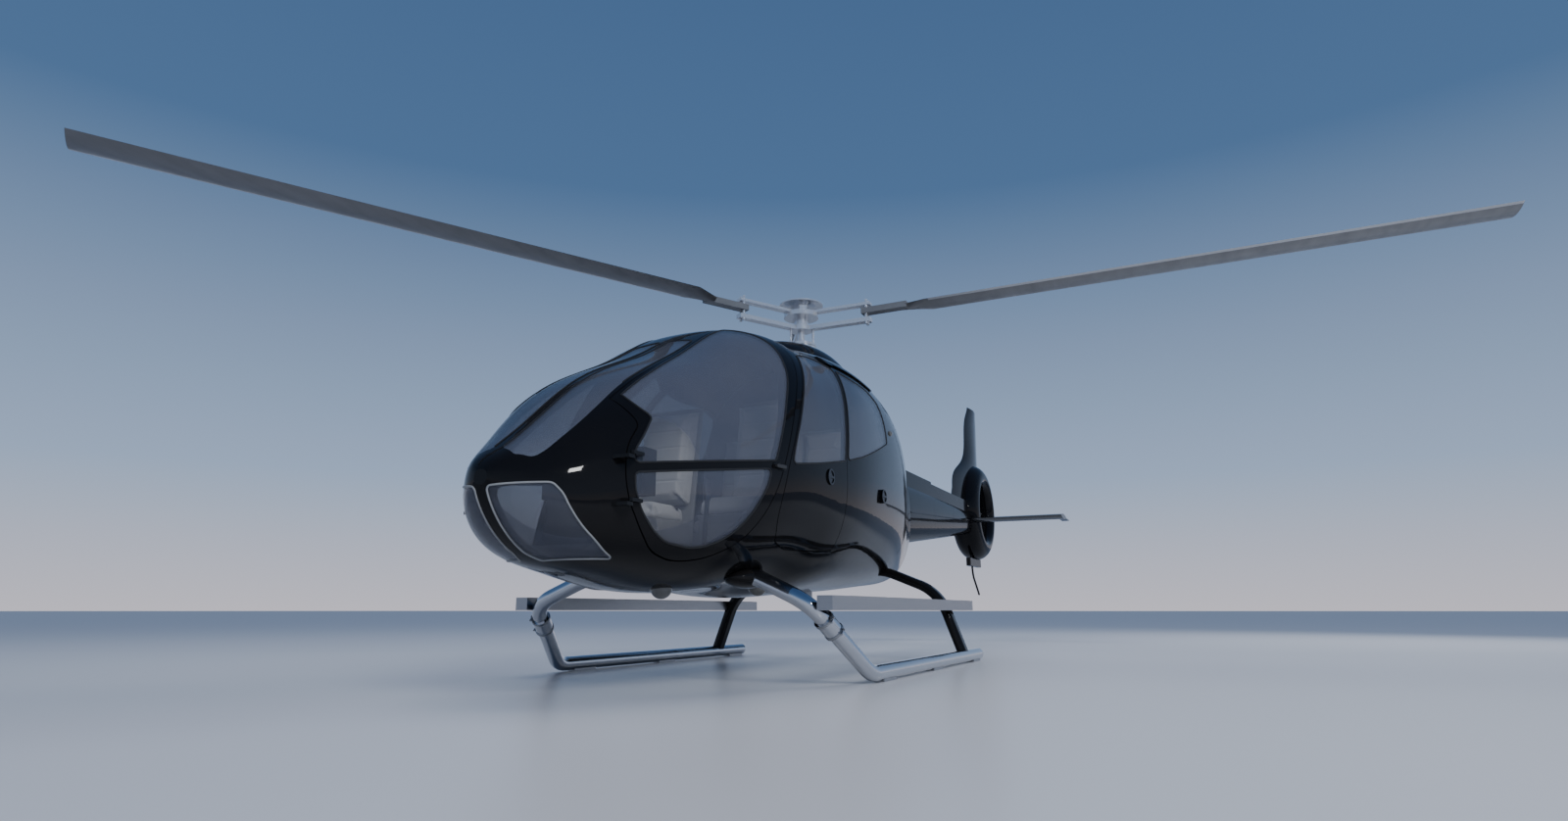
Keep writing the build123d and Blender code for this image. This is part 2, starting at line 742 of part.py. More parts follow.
# Stabiliser: a hollow lens-shaped plane on each side of the boom, butted against it.
stabiliser_half_span = 1400
stabiliser_front_x = -5060
stabiliser_chord = 500
stabiliser_height = 1615
stabiliser_half_thickness = 30
stabiliser_wall = 4
stabiliser_edge_depth = 45


def plane_section(inset, edge_depth):
    front = stabiliser_front_x - edge_depth
    rear = stabiliser_front_x - stabiliser_chord + edge_depth
    middle = front + crest_share * (rear - front)
    half = stabiliser_half_thickness - inset
    return Face(Wire([
        ThreePointArc((front, 0, stabiliser_height), (middle, 0, stabiliser_height + half),
                      (rear, 0, stabiliser_height)),
        ThreePointArc((rear, 0, stabiliser_height), (middle, 0, stabiliser_height - half),
                      (front, 0, stabiliser_height)),
    ]))


stabiliser_left = (extrude(plane_section(0, 0), amount=stabiliser_half_span, dir=(0, 1, 0))
                   - extrude(plane_section(stabiliser_wall, stabiliser_edge_depth),
                             amount=stabiliser_half_span - stabiliser_wall, dir=(0, 1, 0))
                   - boom_solid - ring_solid)

tab_length = 270
tab_width = 90
tab_thickness = 12
tab_overlap = 40
tab = slab(stabiliser_front_x - stabiliser_chord - tab_length,
           stabiliser_front_x - stabiliser_chord + tab_overlap,
           stabiliser_half_span - tab_width, stabiliser_half_span,
           stabiliser_height - tab_thickness, stabiliser_height)
stabiliser_left = stabiliser_left + tab

# Tail fan: hub and eight blades turning about y, in front of a gearbox held by vanes.
fan_radius = 375
fan_hub_radius = 105
fan_blades = 8
fan_blade_chord = 60
fan_blade_thickness = 12
fan_pitch = 35
fan_y = 25
fan_hub_length = 80
fan_gearbox_radius = 85
fan_gearbox_length = 110
vane_count = 10
vane_y = -60
vane_width = 50
vane_thickness = 14
stator_y = fan_y - fan_hub_length / 2 - fit_gap - fan_gearbox_length / 2


def barrel(radius, length, y):
    return Pos(0, y, 0) * Rot(quarter_turn, 0, 0) * Cylinder(radius, length)


def paddle(width, thickness, tip):
    return Box(width, thickness, tip - fan_hub_radius / 2, align=(Align.CENTER, Align.CENTER, Align.MIN))


fan = barrel(fan_hub_radius, fan_hub_length, fan_y)
for blade in range(fan_blades):
    turned = Rot(0, blade * full_turn / fan_blades, 0) * Pos(0, fan_y, fan_hub_radius / 2)
    fan = fan + turned * Rot(0, 0, fan_pitch) * paddle(fan_blade_chord, fan_blade_thickness, fan_radius)
stator = barrel(fan_gearbox_radius, fan_gearbox_length, stator_y)
for vane in range(vane_count):
    turned = Rot(0, (vane + 1 / 2) * full_turn / vane_count, 0) * Pos(0, vane_y, fan_hub_radius / 2)
    stator = stator + turned * paddle(vane_thickness, vane_width, duct_radius - fit_gap)

# Tail guard: a bent rod under the shroud that keeps the fan off the ground.
guard_radius = 14
guard_bend_radius = 250
# Columns: forward of the fan's axis and above it, in shroud radii.
guard_shares = ((0.410, -0.860), (0.290, -1.333), (-0.188, -1.710))
guard_corners = [Vector(shroud_x + forward * shroud_radius, 0, shroud_height + up * shroud_radius)
                 for forward, up in guard_shares]
skeg_front_x = -5780
skeg_length = 700
skeg_half_width = 32
skeg_bottom = 1030
skeg_face = Plane(origin=(skeg_front_x - skeg_length / 2, 0, skeg_bottom)) * RectangleRounded(
    skeg_length, 2 * skeg_half_width, skeg_half_width - fit_gap)
skeg = extrude(skeg_face, amount=shroud_height - shroud_radius - skeg_bottom + shroud_wall, dir=(0, 0, 1))
tail_guard = (tube(guard_corners, [guard_bend_radius], Circle(guard_radius)) + skeg) - ring_solid

# Lamps: two domes under the belly, a small one on each flank, and a beacon on the fin.
belly_lamp_radius = 63
belly_lamp_places = ((2388, 193, 538), (1672, 435, 563))
flank_lamp_radius = 24
flank_lamp_place = (-30, 763, 1809)
beacon_radius = 24
beacon_x = -6480
lamps = Part()
for lamp_place in belly_lamp_places:
    lamps = lamps + Pos(*lamp_place) * Sphere(belly_lamp_radius)
flank_lamp = Pos(*flank_lamp_place) * Sphere(flank_lamp_radius)
lamps = (lamps + both_sides(flank_lamp)) - pod_clearance
beacon = Sphere(beacon_radius) & slab(-big, big, -big, big, 0, big)
lamps = lamps + Pos(beacon_x, 0, fin_foot + fin_height + fit_gap) * beacon

# Main rotor: mast, star with two plates per arm, hub cap, and three blades.
rotor_radius = 5000
arm_angles = (-30, 90, 210)
arm_length = 640
arm_width = 70
upper_plate = 24
lower_plate = 36
upper_plate_height = 2930
lower_plate_height = 2790
star_radius = 150
star_thickness = 40
barrel_radius = 62
flange_radius = 95
bolt_radius = 12
bolt_half_spread = 22
bolt_head = 16
stop_block = 62
stop_reach = 120
blade_chord = 280
blade_thickness = 34
blade_flare_start = 900
blade_full_chord = 1120
neck_start = 565
neck_width = 84
neck_thickness = 50
neck_overlap = 60
root_chord = 118
blade_cone = 0.7
blade_root_height = (upper_plate_height + lower_plate_height) / 2
leading_share = 0.28
blade_crest_share = 0.35


def arm_place(angle):
    return Rot(0, 0, angle)


plate_gap = upper_plate_height - lower_plate_height
bolt_x = arm_length - arm_width / 2
hub = disc(barrel_radius, lower_plate_height - star_thickness / 2, mast_top)
hub = hub + disc(star_radius, upper_plate_height - star_thickness, upper_plate_height)
hub = hub + disc(flange_radius, lower_plate_height - star_thickness / 2,
                 lower_plate_height + star_thickness / 2)
for angle in arm_angles:
    for height, thickness in ((upper_plate_height, upper_plate), (lower_plate_height, lower_plate)):
        plate = Box(arm_length, arm_width, thickness, align=(Align.MIN, Align.CENTER, Align.CENTER))
        hub = hub + arm_place(angle) * Pos(0, 0, height) * plate
    for spread in (-bolt_half_spread, bolt_half_spread):
        bolt = Cylinder(bolt_radius, plate_gap + upper_plate + lower_plate + bolt_head)
        hub = hub + arm_place(angle) * Pos(bolt_x, spread, blade_root_height) * bolt
    stop = Pos(stop_reach, 0, upper_plate_height) * Box(stop_block, stop_block, stop_block)
    hub = hub + arm_place(angle + full_turn / 6) * stop
hub = hub - disc(mast_radius + fit_gap, 0, mast_top)
mast = disc(mast_radius, gearbox_top + fit_gap, mast_top)

# Cap over the hub: a shallow dome on a thin rim.
cap_radius = 190
cap_height = 45
cap_rim = 10
dome_rise = cap_height - cap_rim
dome_radius = (cap_radius ** 2 + dome_rise ** 2) / (2 * dome_rise)
dome_half_angle = asin(cap_radius / dome_radius) / 2
dome_top = mast_top + cap_height
dome_middle = (dome_radius * sin(dome_half_angle), 0, dome_top - dome_radius * (1 - cos(dome_half_angle)))
cap_profile = Face(Wire([
    Line((0, 0, mast_top), (cap_radius, 0, mast_top)),
    Line((cap_radius, 0, mast_top), (cap_radius, 0, mast_top + cap_rim)),
    ThreePointArc((cap_radius, 0, mast_top + cap_rim), dome_middle, (0, 0, dome_top)),
    Line((0, 0, dome_top), (0, 0, mast_top)),
]))
hub_cap = revolve(cap_profile, Axis.Z)


def blade_face(r, chord, thickness):
    front = leading_share * chord
    crest = front - blade_crest_share * chord
    rear = front - chord
    return Face(Wire([ThreePointArc((r, front, 0), (r, crest, thickness / 2), (r, rear, 0)),
                      ThreePointArc((r, rear, 0), (r, crest, -thickness / 2), (r, front, 0))]))


full_face = blade_face(blade_full_chord, blade_chord, blade_thickness)
blade_shape = loft([blade_face(blade_flare_start, root_chord, neck_thickness), full_face], ruled=True)
tip_face = blade_face(rotor_radius, blade_chord, blade_thickness)
blade_shape = blade_shape + loft([full_face, tip_face], ruled=True)
neck_length = blade_flare_start + neck_overlap - neck_start
blade_shape = blade_shape + Pos(neck_start, 0, 0) * Box(neck_length, neck_width, neck_thickness,
                                                        align=(Align.MIN, Align.CENTER, Align.CENTER))
bolt_bore = Cylinder(bolt_radius + fit_gap, big)
bolt_space = Pos(bolt_x, bolt_half_spread, 0) * bolt_bore + Pos(bolt_x, -bolt_half_spread, 0) * bolt_bore


def placed_blade(angle):
    """A blade with its leading edge clockwise seen from above, and a slight upward cone."""
    coned = Pos(0, 0, blade_root_height) * Rot(0, -blade_cone, 0) * mirror(blade_shape, about=Plane.XZ)
    return arm_place(angle) * (coned - bolt_space)


# Swashplate: a fixed ring on the gearbox neck, a turning ring above it and one rod per blade.
swash_radius = 130
swash_thickness = 22
swash_gap = 5
swash_bore = 38.5
link_radius = 10
link_place = 110
swash_ring = Cylinder(swash_radius, swash_thickness) - Cylinder(swash_bore, 2 * swash_thickness)
swash_fixed_height = gearbox_top + fit_gap + swash_thickness / 2
swash_turning_height = swash_fixed_height + swash_thickness + swash_gap
swashplate_fixed = Pos(0, 0, swash_fixed_height) * swash_ring
swashplate_turning = Pos(0, 0, swash_turning_height) * swash_ring
link = Pos(link_place, 0, 0) * disc(link_radius, swash_turning_height,
                                    lower_plate_height - lower_plate / 2 - fit_gap)
for angle in arm_angles:
    swashplate_turning = swashplate_turning + arm_place(angle) * link

# Hard point under the belly, on the mast's axis, with four tapped holes for a hook or a jack pad.
pad_radius = 80
pad_depth = 140
pad_hole_radius = 5.5
pad_hole_circle = 120
pad_hole_count = 4
pad_holes = Pos(0, 0, pad_height) * PolarLocations(pad_hole_circle / 2, pad_hole_count) * Cylinder(
    pad_hole_radius, 2 * pad_depth)
rear_fuselage = rear_fuselage - pad_holes
belly_hard_point = disc(pad_radius, pad_height, pad_height + pad_depth) - pod_outer - pad_holes

write("cabin_shell", cabin_shell)
write("rear_fuselage", rear_fuselage)
write("engine_cowling", cowling)
write("mast_fairing", mast_fairing)
door_glass = upper_pane + lower_pane
door_with_leaves = door_left + hinge_leaves
for name, shape in (("front_door", door_with_leaves), ("door_glass", door_glass), ("skid", skid_left)):
    write(name + "_left", shape)
    write(name + "_right", other_side(shape))
write("door_hinge_arms", both_sides(hinge_fixed))
write("rear_sliding_door", rear_door)
write("sliding_door_rail", door_rail + rail_bracket)
write("side_caps", side_caps)
write("intake_louvres", both_sides(louvres))
write("exhaust_pipe", exhaust_pipe)
write("sliding_door_seal", door_seal)
write("windscreen", both_sides(windscreen_left))
write("chin_windows", both_sides(chin_left))
write("rear_windows", both_sides(rear_pane))
write("quarter_windows", both_sides(quarter_pane))
write("cabin_floor", cabin_floor)
write("cabin_bulkhead", bulkhead)
write("engine_deck", engine_deck)
write("engine_block", engine_block)
write("main_gearbox", gearbox)
write("front_seats", both_sides(front_seat))
write("rear_bench", rear_bench)
write("instrument_panel", instrument_panel)
write("cyclic_sticks", both_sides(stick))
write("front_cross_tube", front_cross_tube)
write("rear_cross_tube", rear_cross_tube)
write("clamp_sleeves", both_sides(sleeve))
write("leg_fairings", both_sides(leg_fairing))
write("skid_shoes", both_sides(shoes_left - rear_tube(fit_gap)))
write("steps", both_sides(step_left))
write("tail_boom", tail_boom)
write("shaft_cover", shaft_cover)
write("tail_fin_and_shroud", tail_fin)
write("stabiliser", both_sides(stabiliser_left))
write("tail_guard", tail_guard)
write("lamps", lamps)
write("tail_fan", at_fan(fan))
write("fan_stator", at_fan(stator))
write("mast", mast)
write("rotor_hub", hub)
write("hub_cap", hub_cap)
for number, angle in enumerate(arm_angles, start=1):
    write("rotor_blade_" + str(number), placed_blade(angle))
write("swashplate_fixed", swashplate_fixed)
write("swashplate_turning", swashplate_turning)
write("belly_hard_point", belly_hard_point)
print(len(written), "nodes")
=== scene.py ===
from math import atan2, cos, exp, pi, radians, sin

import bmesh
import bpy
from mathutils import Matrix, Vector
from mathutils.bvhtree import BVHTree


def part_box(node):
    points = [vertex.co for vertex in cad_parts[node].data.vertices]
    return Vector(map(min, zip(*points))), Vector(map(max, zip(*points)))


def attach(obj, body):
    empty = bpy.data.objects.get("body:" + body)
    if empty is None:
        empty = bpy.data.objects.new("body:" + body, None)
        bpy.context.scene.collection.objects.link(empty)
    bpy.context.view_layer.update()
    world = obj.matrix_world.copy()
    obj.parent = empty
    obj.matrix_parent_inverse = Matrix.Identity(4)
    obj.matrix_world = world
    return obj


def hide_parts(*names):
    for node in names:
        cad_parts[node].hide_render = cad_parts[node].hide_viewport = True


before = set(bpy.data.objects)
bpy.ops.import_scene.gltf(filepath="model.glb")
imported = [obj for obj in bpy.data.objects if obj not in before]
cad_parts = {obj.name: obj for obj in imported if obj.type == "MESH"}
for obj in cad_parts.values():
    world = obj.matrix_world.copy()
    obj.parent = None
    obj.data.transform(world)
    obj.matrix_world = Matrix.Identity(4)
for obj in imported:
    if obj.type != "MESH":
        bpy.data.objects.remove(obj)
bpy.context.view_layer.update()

# Camera: low off the port bow, about as high as the cabin floor, tilted up at the rotor.
# A wide 20 mm lens on a full-size sensor takes in both front blades.
camera_place = (6.599, 2.917, -0.065)
camera_tilt = radians(102.924)
camera_heading = radians(115.034)
lens_mm = 20.0
sensor_mm = 36.0
camera_reach = 1500.0
camera_data = bpy.data.cameras.new("bow_camera")
camera_data.lens = lens_mm
camera_data.sensor_width = sensor_mm
camera_data.clip_end = camera_reach
camera = bpy.data.objects.new("bow_camera", camera_data)
camera.location = camera_place
camera.rotation_euler = (camera_tilt, 0, camera_heading)
bpy.context.collection.objects.link(camera)
bpy.context.scene.camera = camera

# Hangar floor: pale sealed concrete, flat and slightly glossy, so that the skids mirror in it.
# It lies at the soles of the wear shoes, where the machine is parked.
ground_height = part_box("skid_shoes")[0][2]
floor_half = 600.0
floor_colour = (0.46, 0.47, 0.50, 1)
floor_gloss = 0.30


def fresh_material(name):
    """A new material and its Principled shader."""
    material = bpy.data.materials.new(name)
    material.use_nodes = True
    return material, material.node_tree.nodes["Principled BSDF"]


def mesh_piece(name, vertices, faces, material):
    """A new object from points and faces, with one material."""
    mesh = bpy.data.meshes.new(name)
    mesh.from_pydata([tuple(v) for v in vertices], [], faces)
    mesh.update()
    piece = bpy.data.objects.new(name, mesh)
    bpy.context.collection.objects.link(piece)
    mesh.materials.append(material)
    return piece


floor_material, floor_shader = fresh_material("sealed_floor")
floor_shader.inputs["Base Color"].default_value = floor_colour
floor_shader.inputs["Roughness"].default_value = floor_gloss
floor_corners = [(across * floor_half, along * floor_half, ground_height)
                 for across, along in ((-1, -1), (1, -1), (1, 1), (-1, 1))]
floor = mesh_piece("hangar_floor", floor_corners, [(0, 1, 2, 3)], floor_material)

# Studio light: a soft dome that is bluer overhead, with three large soft lamps.
# The key stands ahead to port, one fills from behind, and one hangs over the rotor.
# A small fourth lamp puts the glint on the nose, and is the only one that shiny faces mirror.
dome_strength = 0.95
# Columns: height on the dome, colour.
dome_rows = (
    (0.0, (0.70, 0.68, 0.76, 1)),
    (0.14, (0.37, 0.49, 0.70, 1)),
    (0.45, (0.085, 0.17, 0.34, 1)),
    (1.0, (0.045, 0.10, 0.24, 1)),
)
world = bpy.data.worlds.new("studio_dome")
bpy.context.scene.world = world
world.use_nodes = True
dome_tree = world.node_tree
dome_shader = dome_tree.nodes["Background"]
dome_shader.inputs["Strength"].default_value = dome_strength
dome_place = dome_tree.nodes.new("ShaderNodeTexCoord")
dome_axes = dome_tree.nodes.new("ShaderNodeSeparateXYZ")
dome_ramp = dome_tree.nodes.new("ShaderNodeValToRGB")
for dome_height, dome_colour in dome_rows[1:-1]:
    dome_ramp.color_ramp.elements.new(dome_height)
for dome_stop, (dome_height, dome_colour) in zip(dome_ramp.color_ramp.elements, dome_rows):
    dome_stop.position = dome_height
    dome_stop.color = dome_colour
dome_tree.links.new(dome_place.outputs["Generated"], dome_axes.inputs[0])
dome_tree.links.new(dome_axes.outputs["Z"], dome_ramp.inputs["Fac"])
dome_tree.links.new(dome_ramp.outputs["Color"], dome_shader.inputs["Color"])

# Columns: name, place, aimed at, size, power in watts, whether shiny faces mirror it.
studio_lamps = (
    ("key_lamp", (9.0, 9.0, 8.0), (0.5, 0, 0.8), 5.0, 1150, False),
    ("rim_lamp", (-9.0, 7.0, 6.0), (-1.5, 0, 0.8), 5.0, 700, False),
    ("top_lamp", (1.0, -2.0, 11.0), (0, 0, 1.0), 7.0, 700, False),
    ("glint_lamp", (5.85, 8.30, 3.95), (3.29, 0.35, 0.61), 0.55, 70, True),
)
for lamp_name, lamp_place, lamp_aim, lamp_size, lamp_power, mirrored in studio_lamps:
    lamp_data = bpy.data.lights.new(lamp_name, "AREA")
    lamp_data.size = lamp_size
    lamp_data.energy = lamp_power
    lamp = bpy.data.objects.new(lamp_name, lamp_data)
    lamp.location = lamp_place
    lamp.visible_glossy = mirrored
    lamp.rotation_euler = (Vector(lamp_aim) - Vector(lamp_place)).to_track_quat("-Z", "Y").to_euler()
    bpy.context.collection.objects.link(lamp)

# Outer skin: composite and sheet panels sprayed in gloss black under a clear coat.
# The spray leaves a faint orange peel, and fine dust has settled towards the belly.
paint_colour = (0.004, 0.004, 0.005, 1)
dust_colour = (0.020, 0.018, 0.016, 1)
paint_gloss = 0.10
dusty_gloss = 0.40
peel_size = 180.0
peel_height = 0.0006
skin_nodes = ("cabin_shell", "rear_fuselage", "engine_cowling", "mast_fairing", "front_door_left",
              "front_door_right", "rear_sliding_door", "tail_boom", "shaft_cover", "tail_fin_and_shroud",
              "stabiliser", "rear_cross_tube", "door_hinge_arms", "sliding_door_rail", "intake_louvres",
              "leg_fairings", "tail_guard")


def effect_group(name, inputs, outputs):
    """An empty shader node group with named sockets; inputs have defaults."""
    tree = bpy.data.node_groups.new(name, "ShaderNodeTree")
    for socket_name, default in inputs:
        socket = tree.interface.new_socket(socket_name, in_out="INPUT", socket_type="NodeSocketFloat")
        socket.default_value = default
    for socket_name in outputs:
        tree.interface.new_socket(socket_name, in_out="OUTPUT", socket_type="NodeSocketFloat")
    return tree, tree.nodes.new("NodeGroupInput"), tree.nodes.new("NodeGroupOutput")


def maths(tree, operation, first, second):
    """A Math node on two sockets or numbers, and its result."""
    node = tree.nodes.new("ShaderNodeMath")
    node.operation = operation
    node.use_clamp = operation in ("MULTIPLY", "ADD")
    for socket, source in zip(node.inputs, (first, second)):
        if isinstance(source, (int, float)):
            socket.default_value = source
        else:
            tree.links.new(source, socket)
    return node.outputs[0]


def noise(tree, place, scale, detail):
    """A noise texture over a place socket, and its value."""
    node = tree.nodes.new("ShaderNodeTexNoise")
    node.inputs["Detail"].default_value = detail
    tree.links.new(place, node.inputs["Vector"])
    if isinstance(scale, (int, float)):
        node.inputs["Scale"].default_value = scale
    else:
        tree.links.new(scale, node.inputs["Scale"])
    return node.outputs["Fac"]


least_dust = 0.05
settled_dust, dust_in, dust_out = effect_group(
    "settled_dust",
    (("Patch Scale", 2.0), ("Amount", 0.5), ("Foot Height", -0.1), ("Fade Height", 1.2)),
    ("Mask",))
dust_place = settled_dust.nodes.new("ShaderNodeTexCoord")
dust_axes = settled_dust.nodes.new("ShaderNodeSeparateXYZ")
settled_dust.links.new(dust_place.outputs["Object"], dust_axes.inputs[0])
dust_rise = maths(settled_dust, "SUBTRACT", dust_axes.outputs["Z"], dust_in.outputs["Foot Height"])
dust_share = maths(settled_dust, "DIVIDE", dust_rise, dust_in.outputs["Fade Height"])
dust_fade = maths(settled_dust, "SUBTRACT", 1.0, dust_share)
dust_patches = noise(settled_dust, dust_place.outputs["Object"], dust_in.outputs["Patch Scale"], detail=6.0)
dust_floor = maths(settled_dust, "MAXIMUM", dust_fade, least_dust)
dust_low = maths(settled_dust, "MULTIPLY", dust_floor, dust_patches)
dust_mask = maths(settled_dust, "MULTIPLY", dust_low, dust_in.outputs["Amount"])
settled_dust.links.new(dust_mask, dust_out.inputs["Mask"])


def set_inputs(node, values):
    """Sets a node's own sockets from pairs of name and value."""
    for socket_name, value in values:
        node.inputs[socket_name].default_value = value


def grain(material, scale, detail):
    """Noise over a point's place in its own object, and its value."""
    return noise(material.node_tree, object_place(material), scale, detail)


def add_group(material, group, values):
    """Places an effect group in a material with its own values."""
    node = material.node_tree.nodes.new("ShaderNodeGroup")
    node.node_tree = group
    set_inputs(node, values)
    return node


def blend_colour(material, mask, clean, worn):
    """Base Color that goes from clean to worn by a mask."""
    tree = material.node_tree
    mix = tree.nodes.new("ShaderNodeMix")
    mix.data_type = "RGBA"
    tree.links.new(mask, mix.inputs["Factor"])
    mix.inputs["A"].default_value = clean
    mix.inputs["B"].default_value = worn
    tree.links.new(mix.outputs["Result"], tree.nodes["Principled BSDF"].inputs["Base Color"])


def spread_value(material, mask, low, high, socket_name):
    """Feeds a shader socket with a value that goes from low to high by a mask."""
    tree = material.node_tree
    spread = tree.nodes.new("ShaderNodeMapRange")
    set_inputs(spread, (("To Min", low), ("To Max", high)))
    tree.links.new(mask, spread.inputs["Value"])
    tree.links.new(spread.outputs["Result"], tree.nodes["Principled BSDF"].inputs[socket_name])


def blend_gloss(material, mask, clean, worn):
    """Roughness that goes from clean to worn by a mask."""
    spread_value(material, mask, clean, worn, "Roughness")


def bump(material, height, depth):
    """Bumps the surface by a height socket, to a depth in metres."""
    tree = material.node_tree
    node = tree.nodes.new("ShaderNodeBump")
    node.inputs["Distance"].default_value = depth
    tree.links.new(height, node.inputs["Height"])
    tree.links.new(node.outputs["Normal"], tree.nodes["Principled BSDF"].inputs["Normal"])


def object_place(material):
    """The socket that gives a shaded point's place in its own object."""
    return material.node_tree.nodes.new("ShaderNodeTexCoord").outputs["Object"]


gloss_black, gloss_black_shader = fresh_material("gloss_black_paint")
set_inputs(gloss_black_shader, (("Coat Weight", 0.60), ("Coat Roughness", 0.03), ("Specular IOR Level", 0.08),
                                ("IOR", 1.10), ("Coat IOR", 1.36)))
skin_dust = add_group(gloss_black, settled_dust, (("Patch Scale", 1.6), ("Amount", 0.55)))
blend_colour(gloss_black, skin_dust.outputs["Mask"], paint_colour, dust_colour)
blend_gloss(gloss_black, skin_dust.outputs["Mask"], paint_gloss, dusty_gloss)
bump(gloss_black, grain(gloss_black, scale=peel_size, detail=2.0), peel_height)


def finish_nodes(names, material):
    """Gives CAD nodes a material."""
    for name in names:
        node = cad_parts[name]
        for material_slot in node.material_slots:
            material_slot.material = material


finish_nodes(skin_nodes, gloss_black)

# Windows: moulded acrylic panes, tinted cool grey against the sun and bonded in flush.
# They let the seats and the sky behind show, and mirror the studio more at a slant.
glass_nodes = ("door_glass_left", "door_glass_right", "windscreen", "chin_windows", "rear_windows",
               "quarter_windows")
tint_colour = (0.085, 0.100, 0.150, 1)
smear_colour = (0.130, 0.140, 0.180, 1)
tint_clear = 0.22
tint_grazing = 0.72
tinted_acrylic, tinted_shader = fresh_material("tinted_acrylic")
set_inputs(tinted_shader, (("IOR", 1.49), ("Coat Weight", 1.0), ("Coat Roughness", 0.01)))
pane_smears = grain(tinted_acrylic, scale=3.0, detail=5.0)
blend_colour(tinted_acrylic, pane_smears, tint_colour, smear_colour)
blend_gloss(tinted_acrylic, pane_smears, clean=0.00, worn=0.03)
pane_turn = tinted_acrylic.node_tree.nodes.new("ShaderNodeLayerWeight")
pane_turn.inputs["Blend"].default_value = 0.35
spread_value(tinted_acrylic, pane_turn.outputs["Fresnel"], tint_clear, tint_grazing, "Alpha")
finish_nodes(glass_nodes, tinted_acrylic)

# Window gaskets: a thin extruded rubber bead seals each pane's outer edge to the skin.
# The two chin windows have a pale bead instead, which stands out against the black.
bead_radius = 0.0055
chin_bead_radius = 0.0050
across_x = Vector((1, 0, 0))
across_y = Vector((0, 1, 0))
across_z = Vector((0, 0, 1))
cut_slack = 0.02
roof_cut_height = 1.10
weld_distance = 0.00002
spine_height = 0.9
nose_lean = 0.5
least_loop = 12
bead_facets = 2


def outer_rims(node_name, cut_axes):
    """Closed loops of points where the outer faces of a node's panes end."""
    shape = bmesh.new()
    shape.from_mesh(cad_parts[node_name].data)
    bmesh.ops.remove_doubles(shape, verts=shape.verts, dist=weld_distance)
    shape.normal_update()

    def faces_out(face):
        """Whether a face is part of a pane's outer side."""
        middle = face.calc_center_median()
        outward = Vector((0, middle.y, middle.z - spine_height))
        if node_name in ("windscreen", "chin_windows"):
            outward.x = nose_lean
        sides = [abs(face.normal.dot(axis)) for axis in cut_axes
                 if axis != across_z or middle.z > roof_cut_height]
        is_cut = any(side < cut_slack or side > 1 - cut_slack ** 2 for side in sides)
        return face.normal.dot(outward) > 0 and not is_cut

    outer = {face.index for face in shape.faces if faces_out(face)}
    near = {}
    for edge in shape.edges:
        if sum(face.index in outer for face in edge.link_faces) == 1 and len(edge.link_faces) == 2:
            first, second = edge.verts
            near.setdefault(first.index, []).append(second.index)
            near.setdefault(second.index, []).append(first.index)
    shape.verts.ensure_lookup_table()
    loops = []
    while near:
        start = next(iter(near))
        chain = [start]
        while True:
            forward = near.get(chain[-1], [])
            if not forward:
                break
            step = forward.pop()
            near[step].remove(chain[-1])
            chain.append(step)
            if step == start:
                break
        for index in [index for index, ends in near.items() if not ends]:
            del near[index]
        loops.append([shape.verts[index].co.copy() for index in chain])
    shape.free()
    return [loop for loop in loops if len(loop) > least_loop]


def bead(name, loops, radius, material, body):
    """A round bead along loops of points, as one curve that rides a body."""
    line = bpy.data.curves.new(name, "CURVE")
    line.dimensions = "3D"
    line.bevel_depth = radius
    line.bevel_resolution = bead_facets
    for loop in loops:
        closed = (loop[0] - loop[-1]).length < radius
        points = loop[:-1] if closed else loop
        spline = line.splines.new("POLY")
        spline.points.add(len(points) - 1)
        for point, place in zip(spline.points, points):
            point.co = (*place, 1)
        spline.use_cyclic_u = closed
    line.materials.append(material)
    piece = bpy.data.objects.new(name, line)
    bpy.context.collection.objects.link(piece)
    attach(piece, body)
    return piece


def moulded(name, colour, worn_colour, clean, worn, depth, grain_size=260.0):
    """Moulded rubber or plastic with a fine grain that wears smooth in patches."""
    material = fresh_material(name)[0]
    patches = grain(material, scale=5.0, detail=4.0)
    blend_colour(material, patches, colour, worn_colour)
    blend_gloss(material, patches, clean, worn)
    bump(material, grain(material, scale=grain_size, detail=3.0), depth)
    return material


black_rubber = (0.010, 0.010, 0.011, 1)
dusty_rubber = (0.020, 0.020, 0.021, 1)
seal_rubber = moulded("seal_rubber", black_rubber, dusty_rubber, clean=0.45, worn=0.70, depth=0.0004)
pale_rubber = moulded(
    "pale_rubber", (0.20, 0.21, 0.22, 1), (0.34, 0.35, 0.36, 1), clean=0.40, worn=0.60, depth=0.0004)
finish_nodes(("sliding_door_seal",), seal_rubber)
# Columns: pane node, body, cut across, bead radius, material.
gasket_rows = (
    ("door_glass_left", "door_left", (across_y, across_z), bead_radius, seal_rubber),
    ("door_glass_right", "door_right", (across_y, across_z), bead_radius, seal_rubber),
    ("windscreen", "airframe", (across_z,), bead_radius, seal_rubber),
    ("rear_windows", "airframe", (across_y,), bead_radius, seal_rubber),
    ("quarter_windows", "airframe", (across_y,), bead_radius, seal_rubber),
    ("chin_windows", "airframe", (across_x,), chin_bead_radius, pale_rubber),
)
for pane_node, pane_body, pane_cuts, pane_bead, pane_rubber in gasket_rows:
    rims = outer_rims(pane_node, pane_cuts)
    bead(pane_node + "_gasket", rims, pane_bead, pane_rubber, pane_body)

